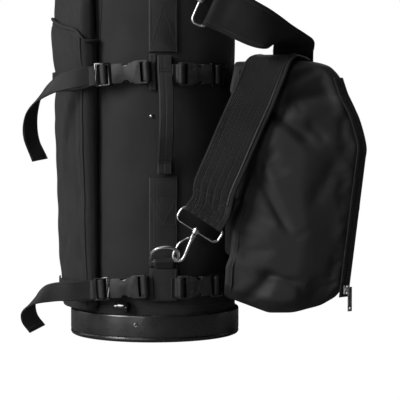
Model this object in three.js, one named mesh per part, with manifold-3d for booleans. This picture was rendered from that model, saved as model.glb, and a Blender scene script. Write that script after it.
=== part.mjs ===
// Padded carry case for a telescope tube: a round fabric sleeve standing in a rigid base cup,
// with a zipped lid, a tall side pocket, a large side pouch, compression straps with side-release
// buckles, a grab handle, and a shoulder strap that hooks on to two D-rings.
//
// Units are millimetres, +Z is up, and the origin is the middle of the base cup's underside.
// Angles round the case are in degrees from the front (-Y), growing towards +X.
import * as THREE from 'three';
import { mergeVertices } from 'three/addons/utils/BufferGeometryUtils.js';
import Module from 'manifold-3d';

const wasm = await Module();
wasm.setup();

// ---------------------------------------------------------------- driving dimensions
const GAP = 0.3;                 // air left between pieces that touch
const ROUND = 48;                // sides of the round pieces

const BODY_R = 110;              // outside of the fabric sleeve
const BODY_TOP = 561.7;          // where the sleeve ends and the lid begins
const SLEEVE_WALL = 2.4;
const FOAM_WALL = 8;

const CUP_WALL = 4.4;
const CUP_HEIGHT = 36;
const CUP_FLOOR = 4;
const CUP_CLEARANCE = 0.6;       // between sleeve and cup
const PAD_THICKNESS = 12;
const HOOP_WALL = 4;
const HOOP_TOP = 33;

const SCREW_COUNT = 4;
const SCREW_FIRST_DEG = -11;
const SCREW_Z = 22.7;
const SCREW_HEAD_R = 3.5;
const SCREW_SHANK_R = 2;

const LID_HEIGHT = 38;           // from the zip to the top of the dome
const ZIP_HALF = 13.5;           // height of each half of the lid's zip tape
const ZIP_THICKNESS = 1.5;
const ZIP_SPAN_DEG = 300;

const WEB_WIDTH = 38;            // the sewn webbing down the front
const WEB_THICKNESS = 2;
const SPINE_DEG = 7.5;           // the line of the front webbing and the handle
const PATCH_HEIGHT = 44;         // box-stitched patch at each end of the webbing
const LOWER_PATCH_Z = 54;        // its lower edge
const STITCH_GAP = 1;            // between a patch and the webbing next to it

const HANDLE_WIDTH = 20;
const HANDLE_THICKNESS = 6;
const HANDLE_LENGTH = 154;
const HANDLE_REACH = 22;         // how far the handle stands away from the case

const RING_WIDTH = 36;           // D-ring, middle of wire to middle of wire
const RING_HEIGHT = 27;
const RING_WIRE_R = 2;
const RING_LEAN_DEG = 45;        // the D-rings stand away from the case
const LOWER_RING_Z = 107.5;
const UPPER_RING_DROP = 81.7;    // from the top of the sleeve down to the upper D-ring's bar

const STRAP_WIDTH = 57;          // shoulder strap
const STRAP_THICKNESS = 3;
const CLIP_REACH = 3.4;          // the snap hooks hang this far in front of the D-rings' bars

const BELT_WIDTH = 25;           // compression straps
const BELT_THICKNESS = 1.8;
const LOWER_BELT_Z = 73;
const UPPER_BELT_RISE = 53;      // from the middle of the handle up to the upper strap
const BELT_TILT_DEG = 4;

const POCKET_DROP = 136.7;       // from the top of the sleeve down to the pocket's binding
const POCKET_BOTTOM = 40;
const POCKET_DEPTH = [17, 28];   // how far it stands out at its bottom and at its top
const POCKET_WALL = 2.4;
const POCKET_FROM_DEG = -41;
const POCKET_TO_DEG = -97;
const COLLAR_DROP = 35.7;        // from the top of the sleeve down to the collar's edge

const POUCH_WALL = 3;
const POUCH_RISE = 18;           // from the upper strap up to the top of the pouch
const POUCH_BOTTOM = 34;
const POUCH_RIGHT = 280;         // furthest reach to the side
const POUCH_FRONT = -100;
const POUCH_BACK = 76;

const UPPER_RING_Z = BODY_TOP - UPPER_RING_DROP;
const handleMid = (LOWER_RING_Z + UPPER_RING_Z) / 2 + 3.25;
const UPPER_BELT_Z = handleMid + UPPER_BELT_RISE;
const POCKET_TOP = BODY_TOP - POCKET_DROP;
const COLLAR_TOP = BODY_TOP - COLLAR_DROP;
const POUCH_TOP = UPPER_BELT_Z + POUCH_RISE;

// ---------------------------------------------------------------- colours
const finish = (color, roughness, metalness) =>
  new THREE.MeshStandardMaterial({ color, roughness, metalness });
const fabric = finish(0x17171a, 0.95, 0);
const webbing = finish(0x1d1d20, 0.9, 0);
const foam = finish(0x2c2c30, 1, 0);
const cupBlack = finish(0x18181a, 0.35, 0.3);
const plastic = finish(0x222225, 0.4, 0);
const steel = finish(0xd0d2d4, 0.2, 1);

// ---------------------------------------------------------------- solids
const part = new THREE.Group();
const rad = THREE.MathUtils.degToRad;
const vec = (x, y, z) => new THREE.Vector3(x, y, z);

function volumeOf(geometry) {
  const p = geometry.attributes.position;
  const index = geometry.index.array;
  const [a, b, c] = [vec(), vec(), vec()];
  let total = 0;
  for (let i = 0; i < index.length; i += 3) {
    a.fromBufferAttribute(p, index[i]);
    b.fromBufferAttribute(p, index[i + 1]);
    c.fromBufferAttribute(p, index[i + 2]);
    total += a.dot(b.cross(c)) / 6;
  }
  return total;
}

// Joins doubled vertices and turns a shape whose faces point inwards the right way round.
function closed(geometry) {
  geometry.deleteAttribute('normal');
  geometry.deleteAttribute('uv');
  const merged = mergeVertices(geometry, 1e-4);
  const index = [];
  const source = merged.index.array;
  for (let i = 0; i < source.length; i += 3) {
    const [a, b, c] = [source[i], source[i + 1], source[i + 2]];
    if (a !== b && b !== c && a !== c) index.push(a, b, c);
  }
  merged.setIndex(index);
  if (volumeOf(merged) < 0) {
    for (let i = 0; i < index.length; i += 3) [index[i], index[i + 1]] = [index[i + 1], index[i]];
    merged.setIndex(index);
  }
  return merged;
}

function solidOf(geometry) {
  const shape = closed(geometry.clone());
  const mesh = new wasm.Mesh({
    numProp: 3,
    vertProperties: Float32Array.from(shape.attributes.position.array),
    triVerts: Uint32Array.from(shape.index.array),
  });
  return new wasm.Manifold(mesh);
}

function geometryOf(solid) {
  const mesh = solid.getMesh();
  const geometry = new THREE.BufferGeometry();
  geometry.setAttribute('position', new THREE.BufferAttribute(Float32Array.from(mesh.vertProperties), 3));
  geometry.setIndex(Array.from(mesh.triVerts));
  return geometry;
}

function cut(base, tools) {
  return geometryOf(tools.reduce((solid, tool) => solid.subtract(solidOf(tool)), solidOf(base)));
}

function join(base, more) {
  return geometryOf(more.reduce((solid, piece) => solid.add(solidOf(piece)), solidOf(base)));
}

function add(name, geometry, material, parent = part) {
  geometry.computeVertexNormals();
  const mesh = new THREE.Mesh(geometry, material);
  mesh.name = name;
  parent.add(mesh);
  return mesh;
}

function box(x0, x1, y0, y1, z0, z1) {
  return new THREE.BoxGeometry(x1 - x0, y1 - y0, z1 - z0)
    .translate((x0 + x1) / 2, (y0 + y1) / 2, (z0 + z1) / 2);
}

// A profile of [radius, height] points turned round the case's axis.
function turned(profile, sides = ROUND) {
  const points = profile.map(([r, z]) => new THREE.Vector2(r, z));
  return closed(new THREE.LatheGeometry(points, sides).rotateX(Math.PI / 2));
}

const tube = (inner, outer, z0, z1) =>
  turned([[inner, z0], [outer, z0], [outer, z1], [inner, z1], [inner, z0]]);

// A pin along +X from x0 to x1.
function pinX(radius, x0, x1, sides = 16) {
  return new THREE.CylinderGeometry(radius, radius, x1 - x0, sides)
    .rotateZ(-Math.PI / 2)
    .translate((x0 + x1) / 2, 0, 0);
}

// The point at an angle and a radius round the case.
const around = (deg, radius, z = 0) => vec(radius * Math.sin(rad(deg)), -radius * Math.cos(rad(deg)), z);

// A band lying on the case between two angles.
function band(inner, outer, fromDeg, toDeg, z0, z1, steps) {
  const shape = new THREE.Shape();
  const start = rad(fromDeg) - Math.PI / 2;
  const end = rad(toDeg) - Math.PI / 2;
  for (let i = 0; i <= steps; i++) {
    const a = start + (end - start) * i / steps;
    const point = [outer * Math.cos(a), outer * Math.sin(a)];
    if (i === 0) shape.moveTo(...point);
    else shape.lineTo(...point);
  }
  for (let i = steps; i >= 0; i--) {
    const a = start + (end - start) * i / steps;
    shape.lineTo(inner * Math.cos(a), inner * Math.sin(a));
  }
  shape.closePath();
  const extruded = new THREE.ExtrudeGeometry(shape, { depth: z1 - z0, bevelEnabled: false });
  return closed(extruded.translate(0, 0, z0));
}

// A band of a stated width, with its middle on the front line of its group.
function strip(inner, thickness, width, z0, z1) {
  const half = THREE.MathUtils.radToDeg(width / 2 / (inner + thickness));
  return band(inner, inner + thickness, -half, half, z0, z1, 6);
}

// Joins rings of points, each ring the same number long, into one closed solid.
function loft(rings, isLoop = false) {
  const count = rings[0].length;
  const position = rings.flat().flatMap((p) => [p.x, p.y, p.z]);
  const index = [];
  const last = isLoop ? rings.length : rings.length - 1;
  for (let i = 0; i < last; i++) {
    const a = i * count;
    const b = ((i + 1) % rings.length) * count;
    for (let j = 0; j < count; j++) {
      const k = (j + 1) % count;
      index.push(a + j, a + k, b + k, a + j, b + k, b + j);
    }
  }
  if (!isLoop) {
    const flat = flattened(rings[0]);
    for (const [p, q, r] of THREE.ShapeUtils.triangulateShape(flat, [])) {
      const end = (rings.length - 1) * count;
      index.push(p, r, q, end + p, end + q, end + r);
    }
  }
  const geometry = new THREE.BufferGeometry();
  geometry.setAttribute('position', new THREE.Float32BufferAttribute(position, 3));
  geometry.setIndex(index);
  return closed(geometry);
}

// A ring's points in its own plane, for its end cap; the ring runs anticlockwise there.
function flattened(ring) {
  const normal = vec(0, 0, 0);
  ring.forEach((p, i) => normal.add(p.clone().cross(ring[(i + 1) % ring.length])));
  normal.normalize();
  const u = ring[1].clone().sub(ring[0]).normalize();
  const v = normal.clone().cross(u);
  return ring.map((p) => new THREE.Vector2(p.dot(u), p.dot(v)));
}

// Flat webbing along a smooth path. Each stop is [point, direction across the webbing].
function ribbon(stops, width, thickness, steps) {
  const path = new THREE.CatmullRomCurve3(stops.map(([point]) => point), false, 'centripetal');
  const across = new THREE.CatmullRomCurve3(stops.map(([, side]) => side), false, 'centripetal');
  const rings = [];
  for (let i = 0; i <= steps; i++) {
    const t = i / steps;
    const along = path.getTangent(t);
    const side = across.getPoint(t).normalize();
    const face = along.clone().cross(side).normalize();
    const middle = path.getPoint(t);
    rings.push([[-1, -1], [1, -1], [1, 1], [-1, 1]].map(([a, b]) => middle.clone()
      .addScaledVector(side, a * width / 2)
      .addScaledVector(face, b * thickness / 2)));
  }
  return loft(rings);
}

// Round wire along points that lie in one plane; radii may change from end to end.
function wire(points, normal, radii, isLoop = false, sides = 8) {
  const rings = points.map((point, i) => {
    const before = points[isLoop ? (i + points.length - 1) % points.length : Math.max(i - 1, 0)];
    const after = points[isLoop ? (i + 1) % points.length : Math.min(i + 1, points.length - 1)];
    const along = after.clone().sub(before).normalize();
    const side = along.clone().cross(normal).normalize();
    const radius = Array.isArray(radii) ? radii[i] : radii;
    return Array.from({ length: sides }, (_, k) => {
      const a = 2 * Math.PI * k / sides;
      return point.clone()
        .addScaledVector(side, radius * Math.cos(a))
        .addScaledVector(normal, radius * Math.sin(a));
    });
  });
  return loft(rings, isLoop);
}

// ---------------------------------------------------------------- base
const sleeveInner = BODY_R - SLEEVE_WALL;
const cupInner = BODY_R + CUP_CLEARANCE;
const cupOuter = cupInner + CUP_WALL;
const hoopOuter = sleeveInner - GAP;
const hoopInner = hoopOuter - HOOP_WALL;
const floorTop = CUP_FLOOR + GAP;

function screwHoles(radius, from, to) {
  return Array.from({ length: SCREW_COUNT }, (_, i) => pinX(radius, from, to)
    .translate(0, 0, SCREW_Z)
    .rotateZ(rad(SCREW_FIRST_DEG + 90 * i - 90)));
}

const CUP_EDGE = 3;              // rounding under the cup
const CUP_GROOVE = 0.6;
const headSeat = cupOuter - 1.7; // flat that the screw heads sit on
const cupProfile = [
  [0, 0], [cupOuter - CUP_EDGE, 0], [cupOuter - 0.8, 1.2], [cupOuter, CUP_EDGE],
  [cupOuter, 5.4], [cupOuter - CUP_GROOVE, 5.9], [cupOuter - CUP_GROOVE, 6.7], [cupOuter, 7.2],
  [cupOuter, CUP_HEIGHT - 1.2], [cupOuter - 1.2, CUP_HEIGHT], [cupInner + 0.8, CUP_HEIGHT],
  [cupInner, CUP_HEIGHT - 0.8], [cupInner, CUP_FLOOR], [0, CUP_FLOOR],
];
add('base_cup', cut(turned(cupProfile), [
  ...screwHoles(SCREW_SHANK_R + GAP, hoopInner, cupOuter + 5),
  ...screwHoles(SCREW_HEAD_R + GAP, headSeat, cupOuter + 5),
]), cupBlack);

add('base_pad', turned([[0, floorTop], [hoopInner - GAP, floorTop],
  [hoopInner - GAP, floorTop + PAD_THICKNESS], [0, floorTop + PAD_THICKNESS]]), foam);
add('base_hoop', cut(tube(hoopInner, hoopOuter, floorTop, HOOP_TOP),
  screwHoles(SCREW_SHANK_R + GAP, hoopInner - 5, cupOuter)), plastic);

for (let i = 0; i < SCREW_COUNT; i++) {
  const spot = new THREE.Group();
  spot.rotation.z = rad(SCREW_FIRST_DEG + 90 * i - 90);
  spot.position.z = SCREW_Z;
  part.add(spot);
  const seat = headSeat + GAP;
  const headTop = seat + 1.9;
  const profile = [[0, hoopInner], [SCREW_SHANK_R, hoopInner], [SCREW_SHANK_R, seat],
    [SCREW_HEAD_R, seat], [SCREW_HEAD_R, headTop - 0.9], [SCREW_HEAD_R - 1, headTop], [0, headTop]];
  add(`base_screw_${i + 1}`, turned(profile, 16).rotateY(Math.PI / 2), steel, spot);
}

// ---------------------------------------------------------------- sleeve and lid
add('body_sleeve', cut(tube(sleeveInner, BODY_R, floorTop, BODY_TOP),
  screwHoles(SCREW_SHANK_R + GAP, hoopInner, cupOuter)), fabric);
const foamOuter = sleeveInner - GAP;
add('body_foam', tube(foamOuter - FOAM_WALL, foamOuter, HOOP_TOP + GAP, BODY_TOP - 1), foam);

const lidBottom = BODY_TOP + 2 * GAP;
const lidTop = lidBottom + LID_HEIGHT;
const zipInner = BODY_R + GAP;
const zipOuter = zipInner + ZIP_THICKNESS;

// The lid's outline with its skin offset inwards: wall, rounded shoulder, low dome.
function lidOutline(inset) {
  const wall = BODY_R - inset;
  const top = lidTop - inset;
  return [[wall, top - 20], [wall - 2, top - 14], [wall - 7, top - 9], [wall - 20, top - 5],
    [wall - 50, top - 1.6], [0, top]];
}
const lidSkin = lidOutline(SLEEVE_WALL).reverse();
add('lid_shell', turned([[BODY_R, lidBottom], ...lidOutline(0), ...lidSkin,
  [sleeveInner, lidBottom], [BODY_R, lidBottom]]), fabric);
const padSkin = lidOutline(SLEEVE_WALL + GAP);
add('lid_pad', turned([[0, lidBottom + 4], [sleeveInner - GAP, lidBottom + 4], ...padSkin]), foam);

const zipHalfSpan = ZIP_SPAN_DEG / 2;
const ZIP_STEPS = 60;
add('zip_tape_lower', band(zipInner, zipOuter, -zipHalfSpan, zipHalfSpan,
  BODY_TOP - ZIP_HALF, BODY_TOP, ZIP_STEPS), webbing);
add('zip_tape_upper', band(zipInner, zipOuter, -zipHalfSpan, zipHalfSpan,
  lidBottom, lidBottom + ZIP_HALF, ZIP_STEPS), webbing);
const hingeSpan = 180 - zipHalfSpan - 3;
add('lid_hinge_strip', band(zipInner, zipOuter, 180 - hingeSpan, 180 + hingeSpan,
  BODY_TOP - 18, lidBottom + 16, 12), fabric);

// A slider for a zip: outer plate, with a bridge that its puller hangs from. It faces +X.
function zipSlider(length, width, height) {
  const plate = box(0, 2.2, -width / 2, width / 2, -length / 2, length / 2);
  const bridge = cut(box(2, height, -1.6, 1.6, -length / 2 + 1, length / 2 - 1),
    [box(2.2, height - 1.6, -2, 2, -length / 2 + 2.8, length / 2 - 2.8)]);
  return join(plate, [bridge]);
}

// A puller: a tab with a hole at its free end, hanging down from the bridge at its top.
function zipPuller(length, width, thickness) {
  const tab = box(0, thickness, -width / 2, width / 2, -length, 0);
  return cut(tab, [pinX(width * 0.26, -1, thickness + 1).translate(0, 0, -length + width * 0.6)]);
}

const LID_SLIDER_DEG = 143;      // closed end of the lid's zip
const SLIDER_HEIGHT = 6.4;
const SLIDER_LENGTH = 12;
const lidSlider = new THREE.Group();
lidSlider.rotation.z = rad(LID_SLIDER_DEG - 90);
lidSlider.position.z = BODY_TOP - SLIDER_LENGTH / 2 - GAP;
part.add(lidSlider);
add('lid_zip_slider', zipSlider(SLIDER_LENGTH, 9, SLIDER_HEIGHT)
  .translate(zipOuter + GAP, 0, 0), steel, lidSlider);
add('lid_zip_puller', zipPuller(26, 6, 1.6)
  .translate(zipOuter + SLIDER_HEIGHT + 2 * GAP, 0, 4), steel, lidSlider);

// ---------------------------------------------------------------- front webbing, handle, D-ring loops
const spine = new THREE.Group();
spine.rotation.z = rad(SPINE_DEG);
part.add(spine);

const webInner = BODY_R + GAP;
const webOuter = webInner + WEB_THICKNESS;
const patchInner = webOuter + GAP;
const PATCH_THICKNESS = 2.6;

const lowerPatchTop = LOWER_PATCH_Z + PATCH_HEIGHT;
const upperPatchBottom = UPPER_RING_Z + LOWER_RING_Z - lowerPatchTop;
const handleHalf = HANDLE_LENGTH / 2;
const HANDLE_CLEAR = 4;          // between the end of the handle and the webbing that holds it
const lowerWebTop = handleMid - handleHalf - HANDLE_CLEAR;
const upperWebBottom = handleMid + handleHalf + HANDLE_CLEAR;
const sewn = (bottom, top) => strip(webInner, WEB_THICKNESS, WEB_WIDTH, bottom, top);
const patch = (bottom) => strip(patchInner, PATCH_THICKNESS, WEB_WIDTH, bottom, bottom + PATCH_HEIGHT);
add('webbing_lower', sewn(lowerPatchTop + STITCH_GAP, lowerWebTop), webbing, spine);
add('webbing_upper', sewn(upperWebBottom, upperPatchBottom - STITCH_GAP), webbing, spine);
add('patch_lower', patch(LOWER_PATCH_Z), webbing, spine);
add('patch_upper', patch(upperPatchBottom), webbing, spine);

const handleSeat = -(webOuter + GAP + HANDLE_THICKNESS / 2 + 0.4);
const acrossX = vec(1, 0, 0);
const handleStops = [[1, 0], [0.8, 0.04], [0.58, 0.45], [0.28, 0.9], [0, 1], [-0.28, 0.9],
  [-0.58, 0.45], [-0.8, 0.04], [-1, 0]].map(([height, reach]) =>
  [vec(1, handleSeat - HANDLE_REACH * reach, handleMid + handleHalf * height), acrossX]);
add('grab_handle', ribbon(handleStops, HANDLE_WIDTH, HANDLE_THICKNESS, 28), webbing, spine);

const STRIP_WIDTH = 9;           // the narrow strip beside the handle
const STRIP_HEIGHT = 8;
const stripSide = -WEB_WIDTH / 2 + 5;
const stripTop = UPPER_BELT_Z - BELT_WIDTH / 2 - STITCH_GAP;
const stripBand = strip(webInner, WEB_THICKNESS, STRIP_WIDTH, stripTop - STRIP_HEIGHT, stripTop);
add('webbing_strip', stripBand.rotateZ(stripSide / webInner), webbing, spine);

const rivetProfile = [[0, 0], [2.6, 0], [2.6, 0.8], [1.8, 1.8], [0, 2.2]];
add('handle_rivet', turned(rivetProfile, 16).rotateX(Math.PI / 2)
  .translate(0, -(BODY_R + 1.2 * GAP), handleMid - 1.4)
  .rotateZ(rad(-8)), steel, spine);

const LOOP_R = 4.6;              // outside of the webbing folded round a D-ring's bar
const ringBarY = -(webOuter + LOOP_R + 0.7);
const clipPlaneY = ringBarY - CLIP_REACH;
const LOOP_WIDTH = 24;

// A D-ring in its own plane: bar along X, arch towards +height.
function ringOutline() {
  const half = RING_WIDTH / 2;
  const corner = 4;
  const outline = new THREE.Path();
  outline.moveTo(-half + corner, 0);
  outline.lineTo(half - corner, 0);
  outline.absarc(half - corner, corner, corner, -Math.PI / 2, 0);
  outline.lineTo(half, RING_HEIGHT * 0.35);
  outline.bezierCurveTo(half, RING_HEIGHT * 0.8, half * 0.55, RING_HEIGHT, 0, RING_HEIGHT);
  outline.bezierCurveTo(-half * 0.55, RING_HEIGHT, -half, RING_HEIGHT * 0.8, -half, RING_HEIGHT * 0.35);
  outline.lineTo(-half, corner);
  outline.absarc(-half + corner, corner, corner, Math.PI, 1.5 * Math.PI);
  const points = outline.getPoints(4);
  return points.filter((p, i) => p.distanceTo(points[(i + 1) % points.length]) > 0.01);
}

const hitches = { lower: { z: LOWER_RING_Z, up: 1 }, upper: { z: UPPER_RING_Z, up: -1 } };
for (const [name, { z, up }] of Object.entries(hitches)) {
  const loop = new THREE.Shape();
  loop.absarc(0, 0, LOOP_R, 0, 2 * Math.PI);
  const hole = new THREE.Path();
  hole.absarc(0, 0, RING_WIRE_R + GAP, 0, 2 * Math.PI);
  loop.holes.push(hole);
  const extrusion = { depth: LOOP_WIDTH, bevelEnabled: false, curveSegments: 10 };
  const sleeve = new THREE.ExtrudeGeometry(loop, extrusion)
    .rotateY(Math.PI / 2)
    .translate(-LOOP_WIDTH / 2, ringBarY, z);
  const top = z - up * 8.6;
  const tongue = box(-LOOP_WIDTH / 2, LOOP_WIDTH / 2, ringBarY + 2.4, ringBarY + LOOP_R - 0.1,
    Math.min(top, z - up * 3), Math.max(top, z - up * 3));
  add(`ring_loop_${name}`, join(sleeve, [tongue]), webbing, spine);

  const lean = rad(RING_LEAN_DEG);
  const normal = vec(0, -Math.cos(lean), -up * Math.sin(lean));
  const points = ringOutline().map((p) =>
    vec(p.x, ringBarY - p.y * Math.sin(lean), z + up * p.y * Math.cos(lean)));
  add(`d_ring_${name}`, wire(points, normal, RING_WIRE_R, true), steel, spine);
}

// ---------------------------------------------------------------- snap hooks
// A hook in its own plane: p to the gate's side, q along the shank from the swivel to the bend.
const EYE = { p: 5.5, q: 38.6, r: 7 };
const HOOK_R = 2.2;
const GATE_R = 1.3;
const BOSS_R = 4.6;
const WIRE_LOOP = { length: 62, width: 20, corner: 7, r: 1.7 };
const forward = vec(0, -1, 0);

function planePoint(frame, p, q) {
  return vec(frame.x + p * frame.px + q * frame.qx, clipPlaneY, frame.z + p * frame.pz + q * frame.qz);
}

function hookSolid(frame) {
  const path = [[0, BOSS_R + GAP, 3.4], [0, 8, 3.2], [0, 12, 2.6], [-0.4, 20, HOOK_R], [-1, 28, HOOK_R],
    [EYE.p - EYE.r, 34, HOOK_R]];
  for (let i = 0; i <= 8; i++) {
    const a = Math.PI * (1 - i / 8);
    path.push([EYE.p + EYE.r * Math.cos(a), EYE.q + EYE.r * Math.sin(a), HOOK_R]);
  }
  path.push([EYE.p + EYE.r, 33.5, HOOK_R]);
  return wire(path.map(([p, q]) => planePoint(frame, p, q)), forward, path.map(([, , r]) => r));
}

function gateSolid(frame) {
  const path = [[EYE.p + EYE.r, 30.6], [EYE.p + EYE.r, 27], [10.6, 21], [6.4, 14], [4.8, 12.4]];
  return wire(path.map(([p, q]) => planePoint(frame, p, q)), forward, GATE_R);
}

// The wide wire loop that the shoulder strap is sewn round, with the swivel's boss on it.
function wireLoopSolid(frame, centre, tiltDeg) {
  const { length, width, corner, r } = WIRE_LOOP;
  const outline = new THREE.Path();
  const [a, b] = [length / 2, width / 2];
  outline.moveTo(-a + corner, -b);
  outline.lineTo(a - corner, -b);
  outline.absarc(a - corner, -b + corner, corner, -Math.PI / 2, 0);
  outline.lineTo(a, b - corner);
  outline.absarc(a - corner, b - corner, corner, 0, Math.PI / 2);
  outline.lineTo(-a + corner, b);
  outline.absarc(-a + corner, b - corner, corner, Math.PI / 2, Math.PI);
  outline.lineTo(-a, -b + corner);
  outline.absarc(-a + corner, -b + corner, corner, Math.PI, 1.5 * Math.PI);
  const points = outline.getPoints(3);
  const round = points.filter((p, i) => p.distanceTo(points[(i + 1) % points.length]) > 0.01);
  const tilt = rad(tiltDeg);
  const placed = round.map((p) => vec(centre[0] + p.x * Math.cos(tilt) - p.y * Math.sin(tilt),
    clipPlaneY, centre[1] + p.x * Math.sin(tilt) + p.y * Math.cos(tilt)));
  const boss = new THREE.SphereGeometry(BOSS_R, 8, 6).translate(frame.x, clipPlaneY, frame.z);
  return join(wire(placed, forward, r, true), [boss]);
}

// The swivels' places, measured from the middle of each D-ring's bar.
const clipRoot = vec(0, ringBarY, 0).applyAxisAngle(vec(0, 0, 1), rad(SPINE_DEG));
const clips = {
  lower: {
    frame: { x: clipRoot.x + 41.15, z: LOWER_RING_Z + 39.4, px: -0.893, pz: 0.45, qx: -0.45, qz: -0.893 },
    loop: [5.4, 8.4],
    tiltDeg: -32.6,
  },
  upper: {
    frame: { x: clipRoot.x + 47.45, z: UPPER_RING_Z - 34.6, px: -0.787, pz: -0.617, qx: -0.617, qz: 0.787 },
    loop: [9.1, -4.1],
    tiltDeg: 65.8,
  },
};
for (const [name, { frame, loop, tiltDeg }] of Object.entries(clips)) {
  const centre = [frame.x + loop[0], frame.z + loop[1]];
  add(`hook_loop_${name}`, wireLoopSolid(frame, centre, tiltDeg), steel);
  add(`snap_hook_${name}`, hookSolid(frame), steel);
  add(`hook_gate_${name}`, gateSolid(frame), steel);
}

// ---------------------------------------------------------------- shoulder strap
// It runs from the lower clip up over the pouch's front, over its top, hangs in a slack loop
// behind it, and comes back over the top to the upper clip. The two halves meet at the back.
const front = clipPlaneY;
const top = POUCH_TOP;
const back = POUCH_BACK;
const [lowerSwivel, upperSwivel] = [clips.lower.frame, clips.upper.frame];
const strapStart = lowerSwivel.z + 21.7;
const climb = (share) => THREE.MathUtils.lerp(strapStart, top - 1, share);
const lowerRun = [
  [vec(lowerSwivel.x + 13.8, front, strapStart), vec(0.842, 0, -0.539)],
  [vec(81, front - 3, climb(0.17)), vec(0.93, 0, -0.36)],
  [vec(97, front - 2, climb(0.36)), vec(0.92, 0, -0.39)],
  [vec(114, front + 2, climb(0.56)), vec(0.92, 0, -0.39)],
  [vec(131, front + 7, climb(0.75)), vec(0.92, 0, -0.38)],
  [vec(143, front + 12, climb(0.9)), vec(0.94, 0, -0.33)],
  [vec(152, front + 22, climb(1)), vec(0.96, 0.05, -0.1)],
  [vec(161, front + 37, top + 7), vec(0.98, 0.12, 0)],
  [vec(172, -50, top + 7), vec(0.98, 0.15, 0)], [vec(182, 10, top + 6), vec(1, 0.1, 0)],
  [vec(189, back - 20, top + 3), vec(1, 0, 0)], [vec(193, back + 7, top - 23), vec(1, 0, 0)],
  [vec(196, back + 14, top - 78), vec(1, 0, 0)], [vec(197, back + 16, top - 148), vec(1, 0, 0)],
  [vec(198, back + 17, top - 188), vec(1, 0, 0)], [vec(198.5, back + 20, top - 200), vec(1, 0, 0)],
  [vec(198.5, back + 24.5, top - 203), vec(1, 0, 0)], [vec(198.5, back + 28.5, top - 198), vec(1, 0, 0)],
  [vec(198.5, back + 29.5, top - 184), vec(1, 0, 0)], [vec(198.5, back + 29.5, top - 172), vec(1, 0, 0)],
];
const upperRun = [
  [vec(upperSwivel.x + 21.4, front, upperSwivel.z - 9.7), vec(0.41, 0, 0.912)],
  [vec(upperSwivel.x + 45.2, front - 3, upperSwivel.z - 20.4), vec(0.45, 0, 0.89)],
  [vec(136, front - 1, top + 43), vec(0.5, 0.2, 0.84)],
  [vec(162, front + 13, top + 31), vec(0.62, 0.5, 0.6)],
  [vec(178, -76, top + 29), vec(0.85, 0.45, 0.25)], [vec(188, -30, top + 26), vec(0.97, 0.2, 0.1)],
  [vec(191, 20, top + 22), vec(1, 0.05, 0)], [vec(193, back - 8, top + 16), vec(1, 0, 0)],
  [vec(195, back + 21, top - 13), vec(1, 0, 0)], [vec(197, back + 28, top - 68), vec(1, 0, 0)],
  [vec(198.5, back + 29.5, top - 128), vec(1, 0, 0)], [vec(198.5, back + 29.5, top - 171), vec(1, 0, 0)],
];
add('shoulder_strap_lower', ribbon(lowerRun, STRAP_WIDTH, STRAP_THICKNESS, 44), webbing);
add('shoulder_strap_upper', ribbon(upperRun, STRAP_WIDTH, STRAP_THICKNESS, 44), webbing);

// ---------------------------------------------------------------- side pocket
// How far the pocket's outside is from the case's axis at a height.
function pocketReach(z) {
  const t = Math.min((z - POCKET_BOTTOM) / (POCKET_TOP - POCKET_BOTTOM), 1);
  return BODY_R + THREE.MathUtils.lerp(...POCKET_DEPTH, t);
}

// The pocket's outline seen from above, set in from its outside by inset.
function pocketRing(z, inset) {
  const outer = pocketReach(z) - inset;
  const inner = webInner + 0.4 + Math.max(inset, 0);
  const margin = THREE.MathUtils.radToDeg(inset / (BODY_R + 10));
  const from = POCKET_FROM_DEG - margin;
  const to = POCKET_TO_DEG + margin;
  const ring = [];
  const STEPS = 7;
  for (let i = 0; i <= STEPS; i++) ring.push(around(from + (to - from) * i / STEPS, inner, z));
  const depth = outer - inner;
  ring.push(around(to - 0.5, outer - depth * 0.4, z), around(to + 2.5, outer - depth * 0.14, z));
  for (let i = STEPS - 1; i >= 1; i--) ring.push(around(from + (to - from) * i / STEPS, outer, z));
  ring.push(around(from - 2.5, outer, z), around(from, outer - depth * 0.2, z));
  return ring;
}

const pocketHeights = [0, 0.04, 0.3, 0.6, 1].map((t) => THREE.MathUtils.lerp(POCKET_BOTTOM, POCKET_TOP, t));
const pocketOuter = loft(pocketHeights.map((z, i) => pocketRing(z, i === 0 ? 3 : 0)));
const pocketInner = loft([[POCKET_BOTTOM + POCKET_WALL, 4], [POCKET_BOTTOM + 18, 0], [POCKET_TOP / 2, 0],
  [POCKET_TOP + 5, 0]].map(([z, more]) => pocketRing(z, POCKET_WALL + more)));
add('pocket_shell', cut(pocketOuter, [pocketInner]), fabric);

const BINDING = 6;
const bindingOuter = loft([POCKET_TOP + GAP, POCKET_TOP + BINDING].map((z) => pocketRing(z, -0.6)));
const bindingInner = loft([POCKET_TOP - 5, POCKET_TOP + BINDING + 5]
  .map((z) => pocketRing(z, POCKET_WALL)));
add('pocket_binding', cut(bindingOuter, [bindingInner]), webbing);

const COLLAR_BOTTOM = POCKET_TOP - 29;
const collarInset = POCKET_WALL + 2 * GAP;
const collarOuter = loft([COLLAR_BOTTOM, POCKET_TOP, COLLAR_TOP]
  .map((z, i) => pocketRing(z, collarInset + 2 * (i > 1))));
const collarInner = loft([COLLAR_BOTTOM - 5, POCKET_TOP, COLLAR_TOP + 5]
  .map((z, i) => pocketRing(z, collarInset + 1.8 + 2 * (i > 1))));
add('pocket_collar', cut(collarOuter, [collarInner]), fabric);

// ---------------------------------------------------------------- side pouch
// Reads a height-by-height size from [height, size] stops.
function sizeAt(z, stops) {
  let i = 1;
  while (i < stops.length - 1 && z > stops[i][0]) i++;
  const [z0, a] = stops[i - 1];
  const [z1, b] = stops[i];
  return THREE.MathUtils.lerp(a, b, THREE.MathUtils.clamp((z - z0) / (z1 - z0), 0, 1));
}

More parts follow.
